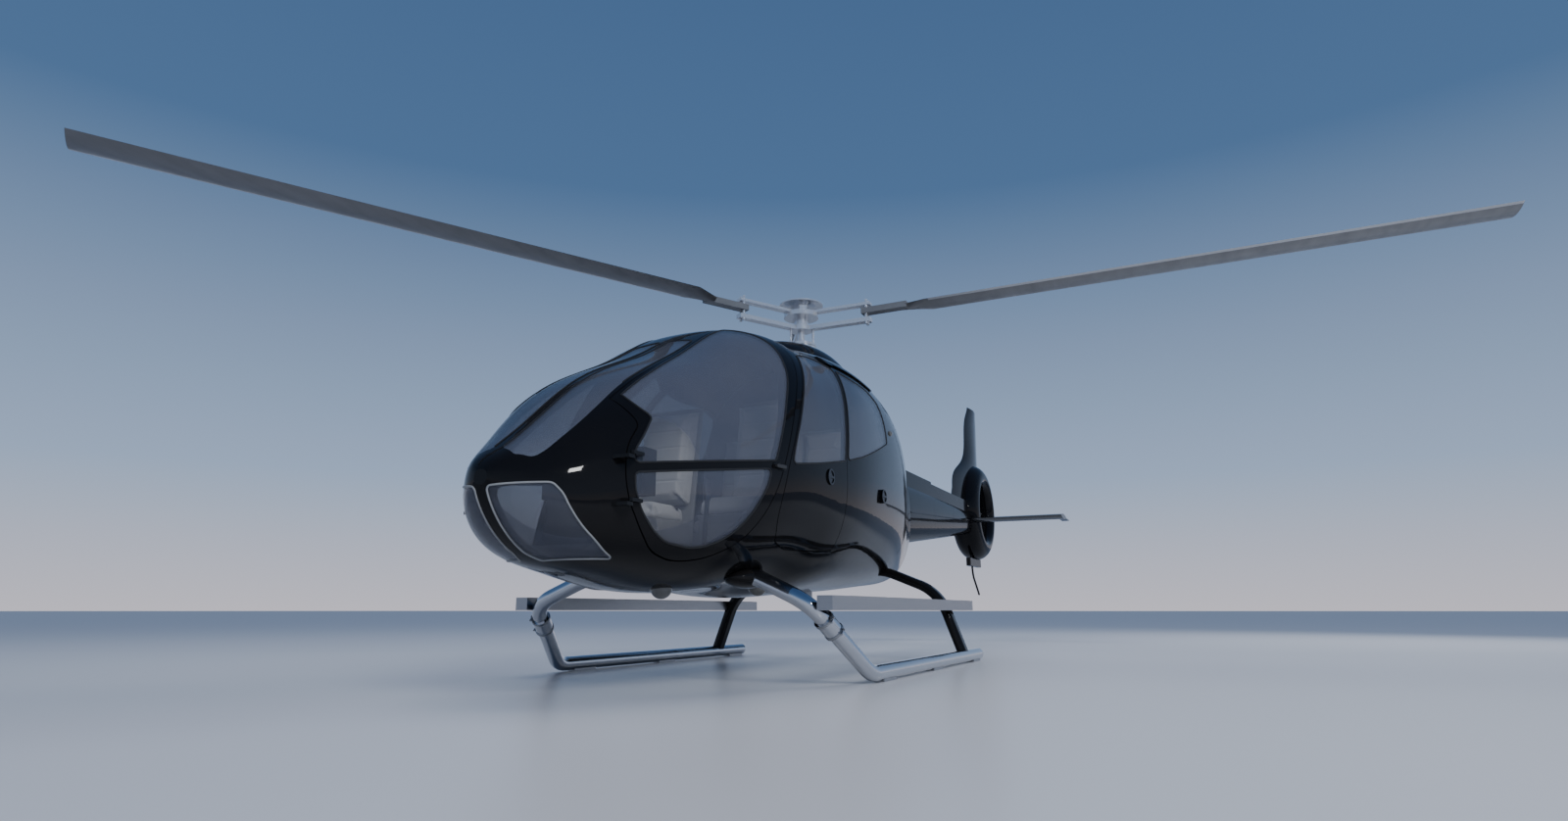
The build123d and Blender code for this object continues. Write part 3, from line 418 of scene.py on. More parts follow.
# Boom trim: a half-round strip is bonded along each flank of the boom, over the skin's lap.
# Rows of flush dome rivets hold the boom's frames, and its front flange to the fuselage.
strip_radius = 0.006
strip_front_x = -2.58
strip_rear_x = -5.52
strip_front_height = 0.975
strip_rear_height = 1.150
strip_steps = 60
rivet_radius = 0.0045
rivet_rise = 0.0016
rivet_sides = 8
both_flanks = (("left", 1), ("right", -1))
# Columns: place along the boom, height of its middle there.
boom_heights = ((-2.55, 0.977), (-5.75, 1.158))
# Columns: place along the boom, rivets round it.
frame_rows = ((-2.585, 44), (-2.635, 44), (-3.62, 36), (-4.55, 32), (-5.40, 28))
# Columns: share of a dome's radius, share of its rise.
dome_rings = ((1.0, -0.2), (0.85, 0.55))
node_trees = {}


def search_tree(data):
    """A tree over a mesh's faces, for finding where lines meet it."""
    return BVHTree.FromPolygons([v.co for v in data.vertices], [p.vertices for p in data.polygons])


def cast_on(node_name, origin, direction):
    """Where a line meets a CAD node's skin, with the skin's normal, or None."""
    if node_name not in node_trees:
        node_trees[node_name] = search_tree(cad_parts[node_name].data)
    place, normal, _, _ = node_trees[node_name].ray_cast(Vector(origin), Vector(direction).normalized())
    if place is None:
        return None
    return place, normal if normal.dot(Vector(direction)) < 0 else -normal


def ring_faces(first, count):
    """Faces between two rings of corners, of which the second follows the first."""
    return [(first + index, first + (index + 1) % count, first + count + (index + 1) % count,
             first + count + index) for index in range(count)]


def dome_head(corners, faces, place, normal, radius, rise, sides):
    """Adds one low dome, standing on a place, to lists of corners and faces."""
    turn = normal.to_track_quat("Z", "Y").to_matrix()
    first = len(corners)
    for share, height in dome_rings:
        for side in range(sides):
            angle = 2 * pi * side / sides
            spot = Vector((share * radius * cos(angle), share * radius * sin(angle), height * rise))
            corners.append(place + turn @ spot)
    corners.append(place + turn @ Vector((0, 0, rise)))
    for side, band in enumerate(ring_faces(first, sides)):
        faces.append(band)
        faces.append((first + sides + side, first + sides + (side + 1) % sides, first + 2 * sides))


def smooth(piece):
    """Shades a piece's faces as one round surface."""
    for polygon in piece.data.polygons:
        polygon.use_smooth = True
    return piece


for side_name, side_sign in both_flanks:
    strip_points = []
    for step in range(strip_steps + 1):
        share = step / strip_steps
        strip_x = strip_front_x + share * (strip_rear_x - strip_front_x)
        strip_z = strip_front_height + share * (strip_rear_height - strip_front_height)
        found = cast_on("tail_boom", (strip_x, side_sign, strip_z), (0, -side_sign, 0))
        if found:
            strip_points.append(found[0])
    bead("boom_strip_" + side_name, [strip_points], strip_radius, gloss_black, "airframe")

rivet_corners, rivet_faces = [], []
for row_x, row_count in frame_rows:
    row_share = (row_x - boom_heights[0][0]) / (boom_heights[1][0] - boom_heights[0][0])
    row_z = boom_heights[0][1] + row_share * (boom_heights[1][1] - boom_heights[0][1])
    for index in range(row_count):
        angle = 2 * pi * (index + 0.5) / row_count
        inward = Vector((0, -sin(angle), -cos(angle)))
        found = cast_on("tail_boom", Vector((row_x, 0, row_z)) - inward, inward)
        cover = cast_on("shaft_cover", Vector((row_x, 0, row_z)) - inward, inward)
        if found and not cover:
            dome_head(rivet_corners, rivet_faces, found[0], found[1], rivet_radius, rivet_rise, rivet_sides)
boom_rivets = smooth(mesh_piece("boom_rivets", rivet_corners, rivet_faces, gloss_black))
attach(boom_rivets, "airframe")

# Cowling fasteners: quarter-turn studs of bare steel along the lower edge of the cowling.
# The cowling comes off when each has been given its quarter turn.
stud_radius = 0.008
stud_rise = 0.002
stud_height = 1.50
stud_first_x = -2.30
stud_last_x = 0.10
stud_count = 13
stud_sides = 12
steepest_seat = 0.3
stud_corners, stud_faces = [], []
for side_sign in (1, -1):
    for index in range(stud_count):
        stud_x = stud_first_x + index / (stud_count - 1) * (stud_last_x - stud_first_x)
        found = cast_on("engine_cowling", (stud_x, 2 * side_sign, stud_height), (0, -side_sign, 0))
        if found and abs(found[1].y) > steepest_seat:
            dome_head(stud_corners, stud_faces, found[0], found[1], stud_radius, stud_rise, stud_sides)

# Skids and front legs: bright polished tube, bent cold, with hair-fine scuffs along it.
# Steps, wear shoes and the hard point are duller satin alloy. The flank caps are dark alloy.
polished_colour = (0.66, 0.68, 0.72, 1)
grime_share = 0.72
scuff_amount = 0.8
scuff_depth = 0.0002
hair_scuffs, scuff_in, scuff_out = effect_group(
    "hair_scuffs", (("Scale", 30.0), ("Stretch", 12.0), ("Amount", 0.3)), ("Mask", "Height"))
scuff_place = hair_scuffs.nodes.new("ShaderNodeTexCoord")
scuff_map = hair_scuffs.nodes.new("ShaderNodeVectorMath")
scuff_map.operation = "MULTIPLY"
scuff_axes = hair_scuffs.nodes.new("ShaderNodeCombineXYZ")
scuff_axes.inputs["X"].default_value = 1.0
hair_scuffs.links.new(scuff_in.outputs["Stretch"], scuff_axes.inputs["Y"])
hair_scuffs.links.new(scuff_in.outputs["Stretch"], scuff_axes.inputs["Z"])
hair_scuffs.links.new(scuff_place.outputs["Object"], scuff_map.inputs[0])
hair_scuffs.links.new(scuff_axes.outputs[0], scuff_map.inputs[1])
scuff_lines = noise(hair_scuffs, scuff_map.outputs[0], scuff_in.outputs["Scale"], detail=5.0)
scuff_mask = maths(hair_scuffs, "MULTIPLY", scuff_lines, scuff_in.outputs["Amount"])
hair_scuffs.links.new(scuff_mask, scuff_out.inputs["Mask"])
hair_scuffs.links.new(scuff_lines, scuff_out.inputs["Height"])


def metal(name, colour, clean, worn, scuff_scale, bareness=1.0):
    """Bare metal whose gloss varies along fine scuffs, with darker grime in them."""
    material, shader = fresh_material(name)
    shader.inputs["Metallic"].default_value = bareness
    scuffs = add_group(material, hair_scuffs, (("Scale", scuff_scale), ("Amount", scuff_amount)))
    grime = tuple(grime_share * part for part in colour[:3]) + (1,)
    blend_colour(material, scuffs.outputs["Mask"], colour, grime)
    blend_gloss(material, scuffs.outputs["Mask"], clean, worn)
    bump(material, scuffs.outputs["Height"], scuff_depth)
    return material


polished_tube = metal("polished_tube", polished_colour, clean=0.04, worn=0.22, scuff_scale=24.0)
satin_alloy = metal("satin_alloy", (0.42, 0.43, 0.45, 1), clean=0.24, worn=0.42, scuff_scale=40.0)
dark_alloy = metal("dark_alloy", (0.045, 0.045, 0.050, 1), clean=0.20, worn=0.40, scuff_scale=40.0)
finish_nodes(("front_cross_tube", "skid_left", "skid_right", "clamp_sleeves"), polished_tube)
finish_nodes(("steps", "skid_shoes", "belly_hard_point"), satin_alloy)
finish_nodes(("side_caps",), dark_alloy)
cowling_studs = smooth(mesh_piece("cowling_studs", stud_corners, stud_faces, satin_alloy))
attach(cowling_studs, "airframe")

# Clamp bands: a rolled band closes each end of the sleeves, drawn up by one hex bolt.
# The sleeves slide over the joint between leg and skid.
sleeve_middle = Vector((1.929, 1.014, -0.149))
sleeve_way = Vector((-0.7336, 0.2809, -0.6189)).normalized()
sleeve_skin = 0.0565
band_places = (-0.052, 0.052)
band_half_width = 0.009
band_steps = 56
bolt_size = 0.009
bolt_length = 0.040
bolt_head = 0.006
bolt_chamfer = 0.001
bolt_corners = 6
bevel_angle = radians(35)
# Columns: share of the band's width, how far it stands proud.
band_section = ((-1.0, -0.0005), (-1.0, 0.0025), (-0.8, 0.0040), (-0.45, 0.0030), (0, 0.0028),
                (0.45, 0.0030), (0.8, 0.0040), (1.0, 0.0025), (1.0, -0.0005))


def lathe(name, rings, origin, way, steps, material, body):
    """Turns (along, radius) rings round an axis into one smooth piece."""
    turn = Vector(way).to_track_quat("Z", "Y").to_matrix()
    corners, faces = [], []
    for along, radius in rings:
        for step in range(steps):
            angle = 2 * pi * step / steps
            corners.append(Vector(origin) + turn @ Vector((radius * cos(angle), radius * sin(angle), along)))
    for ring in range(len(rings) - 1):
        faces += ring_faces(ring * steps, steps)
    if rings[0] != rings[-1]:
        faces.append(tuple(reversed(range(steps))))
        faces.append(tuple((len(rings) - 1) * steps + step for step in range(steps)))
    piece = smooth(mesh_piece(name, corners, faces, material))
    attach(piece, body)
    return piece


def soften(piece, width, segments):
    """Rounds a piece's sharp edges by a bevel that follows them."""
    rounding = piece.modifiers.new("rounded_edges", "BEVEL")
    rounding.width = width
    rounding.segments = segments
    rounding.limit_method = "ANGLE"
    rounding.angle_limit = bevel_angle
    return piece


for side_name, side_sign in both_flanks:
    for number, along in enumerate(band_places, 1):
        middle = sleeve_middle + along * sleeve_way
        middle = Vector((middle.x, side_sign * middle.y, middle.z))
        way = Vector((sleeve_way.x, side_sign * sleeve_way.y, sleeve_way.z))
        rings = [(share * band_half_width, sleeve_skin + proud) for share, proud in band_section]
        rings.append(rings[0])
        lathe(f"clamp_band_{side_name}_{number}", rings, middle, way, band_steps, satin_alloy, "airframe")
        outward = way.cross(Vector((0, 0, 1))).normalized() * side_sign
        bolt_way = way.cross(outward).normalized()
        bolt_start = middle + outward * (sleeve_skin + bolt_size) - bolt_way * bolt_length / 2
        bolt_rings = [(0, 0.8 * bolt_size), (bolt_chamfer, bolt_size), (bolt_head, bolt_size),
                      (bolt_head, 0.5 * bolt_size), (bolt_length - bolt_head, 0.5 * bolt_size),
                      (bolt_length - bolt_head, bolt_size), (bolt_length - bolt_chamfer, bolt_size),
                      (bolt_length, 0.8 * bolt_size)]
        lathe(f"clamp_bolt_{side_name}_{number}", bolt_rings, bolt_start, bolt_way, bolt_corners, satin_alloy,
              "airframe")

# Step grips: strips of grit tape with rounded ends are stuck along the tops of the steps.
# They leave bare metal where the legs pass.
step_middle_y = 1.058
step_top = 0.016
grip_half_width = 0.034
grip_thickness = 0.0014
grip_spans = ((-1.150, -0.800), (-0.520, 0.230), (0.290, 1.040), (1.100, 1.780))
grip_corner_steps = 6
grit_colour = (0.018, 0.018, 0.018, 1)
trodden_colour = (0.050, 0.048, 0.045, 1)
grit_tape = moulded("grit_tape", grit_colour, trodden_colour, clean=0.75, worn=0.95, depth=0.0022,
    grain_size=900.0)


def rounded_plate(length_low, length_high, half_width, steps):
    """Corners of a long plate with round ends, in order."""
    corners = []
    for middle, start in ((length_high - half_width, -pi / 2), (length_low + half_width, pi / 2)):
        for step in range(steps + 1):
            angle = start + pi * step / steps
            corners.append((middle + half_width * cos(angle), half_width * sin(angle)))
    return corners


for side_name, side_sign in both_flanks:
    grip_corners, grip_faces = [], []
    for span_low, span_high in grip_spans:
        outline = rounded_plate(span_low, span_high, grip_half_width, grip_corner_steps)
        first, count = len(grip_corners), len(outline)
        for height in (step_top, step_top + grip_thickness):
            grip_corners += [(x, side_sign * step_middle_y + y, height) for x, y in outline]
        grip_faces.append(tuple(first + count + index for index in range(count)))
        grip_faces.append(tuple(first + index for index in reversed(range(count))))
        grip_faces += ring_faces(first, count)
    grips = mesh_piece("step_grips_" + side_name, grip_corners, grip_faces, grit_tape)
    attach(grips, "airframe")

# Rotor head: machined steel star, mast and swashplates, wiped with oil.
# The hub cap over them is spun from the same bright sheet.
machined_steel = metal(
    "machined_steel", (0.78, 0.79, 0.82, 1), clean=0.12, worn=0.30, scuff_scale=60.0, bareness=0.74)
finish_nodes(("mast", "rotor_hub", "hub_cap", "swashplate_fixed", "swashplate_turning"), machined_steel)

# Main blades: grey glass-fibre skins, with a bare metal shield along the leading edge.
# Rain and grit dull the paint behind it. The tail fan has the same paint.
blade_colour = (0.235, 0.240, 0.250, 1)
blade_worn = (0.150, 0.152, 0.158, 1)
shield_colour = (0.50, 0.51, 0.53, 1)
shield_edge = -0.050
shield_start = 1.15
paint_sheen = 0.45
# Columns: node, arm angle.
blade_arms = (
    ("rotor_blade_1", radians(-30)),
    ("rotor_blade_2", radians(90)),
    ("rotor_blade_3", radians(210)),
)
blade_shield, shield_in, shield_out = effect_group(
    "blade_shield", (("Way X", 1.0), ("Way Y", 0.0), ("Edge", -0.05), ("Start", 1.1)), ("Mask",))
shield_place = blade_shield.nodes.new("ShaderNodeTexCoord")
shield_axes = blade_shield.nodes.new("ShaderNodeSeparateXYZ")
blade_shield.links.new(shield_place.outputs["Object"], shield_axes.inputs[0])


def free_maths(tree, operation, first, second):
    """A Math node whose result isn't clamped."""
    socket = maths(tree, operation, first, second)
    socket.node.use_clamp = False
    return socket


def weighed(first_socket, second_socket, operation):
    """The blade's own coordinate: one product with each of the arm's two directions."""
    first = free_maths(blade_shield, "MULTIPLY", shield_axes.outputs["X"], first_socket)
    second = free_maths(blade_shield, "MULTIPLY", shield_axes.outputs["Y"], second_socket)
    return free_maths(blade_shield, operation, second, first)


chordwise = weighed(shield_in.outputs["Way Y"], shield_in.outputs["Way X"], "SUBTRACT")
lengthwise = weighed(shield_in.outputs["Way X"], shield_in.outputs["Way Y"], "ADD")
near_edge = maths(blade_shield, "LESS_THAN", chordwise, shield_in.outputs["Edge"])
past_root = maths(blade_shield, "GREATER_THAN", lengthwise, shield_in.outputs["Start"])
blade_shield.links.new(maths(blade_shield, "MULTIPLY", near_edge, past_root), shield_out.inputs["Mask"])


def blade_finish(name):
    """Blade paint with long rain marks, and its shader."""
    material, shader = fresh_material(name)
    shader.inputs["Metallic"].default_value = 0.55
    marks = add_group(material, hair_scuffs, (("Scale", 4.0), ("Stretch", 3.0), ("Amount", 0.9)))
    blend_colour(material, marks.outputs["Mask"], blade_colour, blade_worn)
    blend_gloss(material, marks.outputs["Mask"], clean=0.24, worn=0.50)
    bump(material, grain(material, scale=90.0, detail=3.0), depth=0.0004)
    return material, shader


for blade_node, arm_angle in blade_arms:
    blade_material, blade_shader = blade_finish(blade_node + "_paint")
    shield = add_group(blade_material, blade_shield, (("Way X", cos(arm_angle)), ("Way Y", sin(arm_angle)),
                                                      ("Edge", shield_edge), ("Start", shield_start)))
    blade_tree = blade_material.node_tree
    shield_mix = blade_tree.nodes.new("ShaderNodeMix")
    shield_mix.data_type = "RGBA"
    paint_link = blade_shader.inputs["Base Color"].links[0]
    blade_tree.links.new(paint_link.from_socket, shield_mix.inputs["A"])
    shield_mix.inputs["B"].default_value = shield_colour
    blade_tree.links.new(shield.outputs["Mask"], shield_mix.inputs["Factor"])
    blade_tree.links.new(shield_mix.outputs["Result"], blade_shader.inputs["Base Color"])
    spread_value(blade_material, shield.outputs["Mask"], paint_sheen, 1.0, "Metallic")
    finish_nodes((blade_node,), blade_material)
fan_paint = blade_finish("fan_paint")[0]
finish_nodes(("tail_fan",), fan_paint)

# Engine bay and deck: cast and sheet alloy, seen only through gaps and past the fan.
# The exhaust is welded steel, blued and browned by heat towards its mouth.
cast_alloy = metal("cast_alloy", (0.40, 0.40, 0.41, 1), clean=0.38, worn=0.60, scuff_scale=80.0)
finish_nodes(("engine_block", "main_gearbox", "fan_stator", "engine_deck"), cast_alloy)
heat_straw = (0.33, 0.27, 0.19, 1)
heat_blue = (0.11, 0.11, 0.15, 1)
heated_steel, heated_shader = fresh_material("heated_steel")
heated_shader.inputs["Metallic"].default_value = 1.0
heat_bands = grain(heated_steel, scale=9.0, detail=4.0)
blend_colour(heated_steel, heat_bands, heat_straw, heat_blue)
blend_gloss(heated_steel, heat_bands, clean=0.30, worn=0.55)
bump(heated_steel, grain(heated_steel, scale=120.0, detail=2.0), depth=0.0003)
finish_nodes(("exhaust_pipe",), heated_steel)

# Intake plenums: a folded sheet box behind each set of louvres, with a wire screen at its mouth.
# The mouth follows the cowling, and the screen keeps birds and ice out of the engine.
plenum_front_x = -0.165
plenum_rear_x = -0.785
plenum_low = 1.572
plenum_high = 1.718
plenum_back = 0.300
plenum_sheet = 0.0015
screen_pitch = 0.016
screen_wire = 0.0011
# Columns: share of the way back, share of the way up, half width at the mouth there.
plenum_mouth = ((0, 0, 0.620), (0, 1, 0.515), (1, 1, 0.375), (1, 0, 0.490))


def mouth_point(back, up, side_sign, inward=0):
    """A point on the plenum's mouth, from its shares along and up."""
    half_width = sum(width * (back if corner_back else 1 - back) * (up if corner_up else 1 - up)
                     for corner_back, corner_up, width in plenum_mouth)
    return Vector((plenum_front_x + back * (plenum_rear_x - plenum_front_x),
                   side_sign * (half_width - inward), plenum_low + up * (plenum_high - plenum_low)))


screen_columns = int((plenum_front_x - plenum_rear_x) / screen_pitch)
screen_rows = int((plenum_high - plenum_low) / screen_pitch)
for side_name, side_sign in both_flanks:
    plenum_corners = [mouth_point(back, up, side_sign) for back, up, width in plenum_mouth]
    plenum_corners += [Vector((corner.x, side_sign * plenum_back, corner.z)) for corner in plenum_corners]
    plenum_faces = ring_faces(0, len(plenum_mouth)) + [(4, 5, 6, 7)]
    plenum = mesh_piece("intake_plenum_" + side_name, plenum_corners, plenum_faces, cast_alloy)
    plenum.modifiers.new("sheet_thickness", "SOLIDIFY").thickness = plenum_sheet
    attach(plenum, "airframe")
    screen_wires = [[mouth_point(index / screen_columns, up, side_sign) for up in (0, 1)]
                    for index in range(1, screen_columns)]
    screen_wires += [[mouth_point(back, index / screen_rows, side_sign, screen_wire) for back in (0, 1)]
                     for index in range(1, screen_rows)]
    bead("intake_screen_" + side_name, screen_wires, screen_wire, satin_alloy, "airframe")

# Lamps: smoked domes under the belly and small ones on the flanks, moulded in acrylic.
# Fine prism ribs inside spread the light.
smoked_lens, lens_shader = fresh_material("smoked_lens")
set_inputs(lens_shader, (("Coat Weight", 1.0), ("Coat Roughness", 0.04)))
lens_ribs = smoked_lens.node_tree.nodes.new("ShaderNodeTexWave")
lens_ribs.bands_direction = "Z"
lens_ribs.inputs["Scale"].default_value = 60.0
smoked_lens.node_tree.links.new(object_place(smoked_lens), lens_ribs.inputs["Vector"])
# The ribs are painted lighter along their crests and darker between them, as painted highlight and shade.
blend_colour(smoked_lens, lens_ribs.outputs["Fac"], (0.075, 0.074, 0.070, 1), (0.150, 0.148, 0.140, 1))
blend_gloss(smoked_lens, lens_ribs.outputs["Fac"], clean=0.12, worn=0.30)
bump(smoked_lens, lens_ribs.outputs["Fac"], depth=0.0006)
finish_nodes(("lamps",), smoked_lens)

# Door handles: a short lever in black plastic on a round-ended plate, at each door's rear edge.
# A pull on the lever's rear end frees the latch.
fresh_plastic = (0.018, 0.018, 0.019, 1)
rubbed_plastic = (0.034, 0.034, 0.036, 1)
dark_plastic = moulded("dark_plastic", fresh_plastic, rubbed_plastic, clean=0.35, worn=0.55, depth=0.0005)
handle_x = 2.150
handle_z = 0.735
plate_half_length = 0.060
plate_half_width = 0.020
plate_rise = 0.004
lever_half_length = 0.045
lever_half_width = 0.011
lever_lift = 0.014
lever_thickness = 0.008
pivot_ahead = 0.030
pivot_half_length = 0.011
pivot_half_width = 0.009
pivot_overlap = 0.002
capsule_steps = 8
capsule_rounding = 0.003


def capsule_block(name, place, forward, outward, half_length, half_width, low, high, material, body):
    """A round-ended block standing between two heights over a place on the skin."""
    upward = outward.cross(forward).normalized()
    outline = rounded_plate(-half_length, half_length, half_width, capsule_steps)
    count = len(outline)
    corners = [place + x * forward + y * upward + height * outward
               for height in (low, high) for x, y in outline]
    faces = [tuple(count + index for index in range(count)), tuple(reversed(range(count)))]
    faces += ring_faces(0, count)
    piece = soften(mesh_piece(name, corners, faces, material), min(capsule_rounding, (high - low) / 3), 2)
    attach(piece, body)
    return piece


for side_name, side_sign in both_flanks:
    found = cast_on("front_door_" + side_name, (handle_x, 2 * side_sign, handle_z), (0, -side_sign, 0))
    if found:
        spot, outward = found
        forward = Vector((1, 0, 0)) - outward.x * outward
        forward.normalize()
        door = "door_" + side_name
        pivot_spot = spot + pivot_ahead * forward
        capsule_block("handle_plate_" + side_name, spot, forward, outward, plate_half_length,
                      plate_half_width, -plate_rise, plate_rise, gloss_black, door)
        capsule_block("handle_lever_" + side_name, spot, forward, outward, lever_half_length,
                      lever_half_width, lever_lift, lever_lift + lever_thickness, dark_plastic, door)
        capsule_block("handle_pivot_" + side_name, pivot_spot, forward, outward, pivot_half_length,
                      pivot_half_width, 0.0, lever_lift + pivot_overlap, dark_plastic, door)

# Roof antenna: a short blade of painted fibre that widens into its foot on the cabin roof.
# It is moulded in one and sealed down, just ahead of the rotor fairing.
antenna_x = 1.36
antenna_height = 0.055
above_roof = 3.0
antenna_spot = cast_on("cabin_shell", (antenna_x, 0, above_roof), (0, 0, -1))
# Columns: height share, way back, half length, half thickness.
antenna_rows = ((-0.05, 0.000, 0.055, 0.0120), (0.06, 0.000, 0.052, 0.0110), (0.14, -0.004, 0.040, 0.0050),
                (0.60, -0.014, 0.032, 0.0040), (0.92, -0.022, 0.024, 0.0030), (1.00, -0.026, 0.014, 0.0014))
antenna_sides = 20
if antenna_spot:
    antenna_corners, antenna_faces = [], []
    for share, shift, half_length, half_thickness in antenna_rows:
        for index in range(antenna_sides):
            angle = 2 * pi * index / antenna_sides
            corner = Vector((shift + half_length * cos(angle), half_thickness * sin(angle),
                             share * antenna_height))
            antenna_corners.append(antenna_spot[0] + corner)
    for row in range(len(antenna_rows) - 1):
        antenna_faces += ring_faces(row * antenna_sides, antenna_sides)
    antenna_top = (len(antenna_rows) - 1) * antenna_sides
    antenna_faces.append(tuple(antenna_top + index for index in range(antenna_sides)))
    antenna = smooth(mesh_piece("roof_antenna", antenna_corners, antenna_faces, gloss_black))
    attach(antenna, "airframe")

# Cabin trim: floor and bulkhead are grained plastic panels, clipped over the structure.
# The instrument panel's housing and the sticks are dark moulded plastic.
trim_grey = moulded(
    "trim_grey", (0.20, 0.20, 0.21, 1), (0.26, 0.26, 0.27, 1), clean=0.55, worn=0.75, depth=0.0008)
finish_nodes(("cabin_floor", "cabin_bulkhead"), trim_grey)
finish_nodes(("instrument_panel", "cyclic_sticks"), dark_plastic)

# Instruments: round dials and two screens in turned bezels, screwed to the panel's rear face.
# Each dial has a pale needle over a black card. The screens are off.
panel_face_x = 2.685
panel_middle_z = 0.655
dial_glass, dial_shader = fresh_material("dial_card")
set_inputs(dial_shader, (("Coat Weight", 1.0),))
dial_grain = grain(dial_glass, scale=40.0, detail=3.0)
blend_colour(dial_glass, dial_grain, (0.006, 0.007, 0.009, 1), (0.016, 0.018, 0.022, 1))
blend_gloss(dial_glass, dial_grain, clean=0.06, worn=0.16)
needle_white = moulded(
    "needle_white", (0.72, 0.72, 0.70, 1), (0.80, 0.80, 0.78, 1), clean=0.4, worn=0.5, depth=0.0001)
to_rear = Vector((-1, 0, 0))
bezel_steps = 36
card_share = 0.84
card_low, card_high = -0.002, 0.0015
needle_tail_share = 0.12
needle_tip_share = 0.66
needle_steps = 8
needle_lift = Vector((-0.0028, 0, 0))
screen_up = 0.005
screen_sides = (("left", 0.135), ("right", -0.155))
# Columns: height over the panel, share of the dial's radius.
bezel_section = ((-0.002, 1.0), (0.004, 1.0), (0.006, 0.96), (0.006, 0.86), (0.002, 0.82), (-0.002, 0.82),
                 (-0.002, 1.0))
# Columns: name, half length, half width, low, high, material.
screen_layers = (("screen_frame_", 0.095, 0.072, -0.002, 0.006, dark_plastic),
                 ("screen_glass_", 0.083, 0.060, 0.004, 0.0075, dial_glass))
# Columns: across, up from the middle, radius, needle angle in degrees.
dial_rows = ((-0.275, 0.060, 0.034, 30), (-0.275, -0.045, 0.034, 140), (0.275, 0.060, 0.034, -20),
             (0.275, -0.045, 0.034, 200), (-0.010, 0.070, 0.028, 75), (-0.010, -0.010, 0.028, 250))
for number, (dial_y, dial_up, dial_radius, needle_turn) in enumerate(dial_rows, 1):
    dial_place = Vector((panel_face_x, dial_y, panel_middle_z + dial_up))
    bezel_rings = [(height, share * dial_radius) for height, share in bezel_section]
    card_rings = [(card_low, card_share * dial_radius), (card_high, card_share * dial_radius)]
    needle_rings = [(-needle_tail_share * dial_radius, 0.0014), (0, 0.0018),
                    (needle_tip_share * dial_radius, 0.0005)]
    needle_way = Vector((0, cos(radians(needle_turn)), sin(radians(needle_turn))))
    lathe(f"dial_bezel_{number}", bezel_rings, dial_place, to_rear, bezel_steps, satin_alloy, "airframe")
    lathe(f"dial_card_{number}", card_rings, dial_place, to_rear, bezel_steps, dial_glass, "airframe")
    lathe(f"dial_needle_{number}", needle_rings, dial_place + needle_lift, needle_way, needle_steps,
          needle_white, "airframe")
for screen_name, screen_y in screen_sides:
    screen_place = Vector((panel_face_x, screen_y, panel_middle_z + screen_up))
    for layer_name, half_length, half_width, low, high, layer_material in screen_layers:
        capsule_block(layer_name + screen_name, screen_place, across_y, to_rear, half_length, half_width,
                      low, high, layer_material, "airframe")

# Stick grips: moulded rubber sleeves pushed over the tops of the two sticks.
# Six ribs keep the hand from slipping, and a small button stands on top for the thumb.
front_seat_y = 0.380
rib_count = 6
rib_pitch = 0.014
lowest_rib = -0.095
rib_radius = 0.0210
groove_radius = 0.0195
grip_steps = 28
stick_foot = Vector((2.250, front_seat_y, 0.2518))
stick_head = Vector((2.210, front_seat_y, 0.6703))
# Columns: place along the stick from its head, radius.
grip_rings = [(-0.115, 0.0145), (-0.112, 0.0190), (-0.100, 0.0200)]
for rib in range(rib_count):
    rib_low = lowest_rib + rib_pitch * rib
    grip_rings += [(rib_low, groove_radius), (rib_low + 0.004, rib_radius), (rib_low + 0.009, rib_radius),
                   (rib_low + 0.012, groove_radius)]
grip_rings += [(-0.004, 0.0210), (0.004, 0.0180), (0.010, 0.0110), (0.011, 0.0060), (0.016, 0.0055),
               (0.0175, 0.0035)]
stick_way = (stick_head - stick_foot).normalized()
for side_name, side_sign in both_flanks:
    grip_place = (stick_head.x, side_sign * stick_head.y, stick_head.z)
    lathe("stick_grip_" + side_name, grip_rings, grip_place, stick_way, grip_steps, seal_rubber, "airframe")

# Seats: cut foam cushions in pale woven cloth, on moulded tubs with a square pedestal.
# Each cover swells over its foam as real cloth would, and is sewn down in channels.
cover_shell = moulded(
    "seat_tub_shell", (0.30, 0.30, 0.30, 1), (0.36, 0.36, 0.355, 1), clean=0.45, worn=0.62, depth=0.0006)
cloth_pale = (0.80, 0.79, 0.76, 1)
cloth_soil_and_shade = (0.66, 0.65, 0.62, 1)
cloth_weave, weave_in, weave_out = effect_group(
    "cloth_weave", (("Threads", 420.0), ("Soil", 3.0)), ("Mask", "Height"))
weave_place = cloth_weave.nodes.new("ShaderNodeTexCoord")
weave_bands = []
for weave_axis in ("Y", "Z"):
    band = cloth_weave.nodes.new("ShaderNodeTexWave")
    band.bands_direction = weave_axis
    cloth_weave.links.new(weave_place.outputs["Object"], band.inputs["Vector"])
    cloth_weave.links.new(weave_in.outputs["Threads"], band.inputs["Scale"])
    weave_bands.append(band.outputs["Fac"])
weave_height = maths(cloth_weave, "MULTIPLY", weave_bands[0], weave_bands[1])
weave_soil = noise(cloth_weave, weave_place.outputs["Object"], weave_in.outputs["Soil"], detail=4.0)
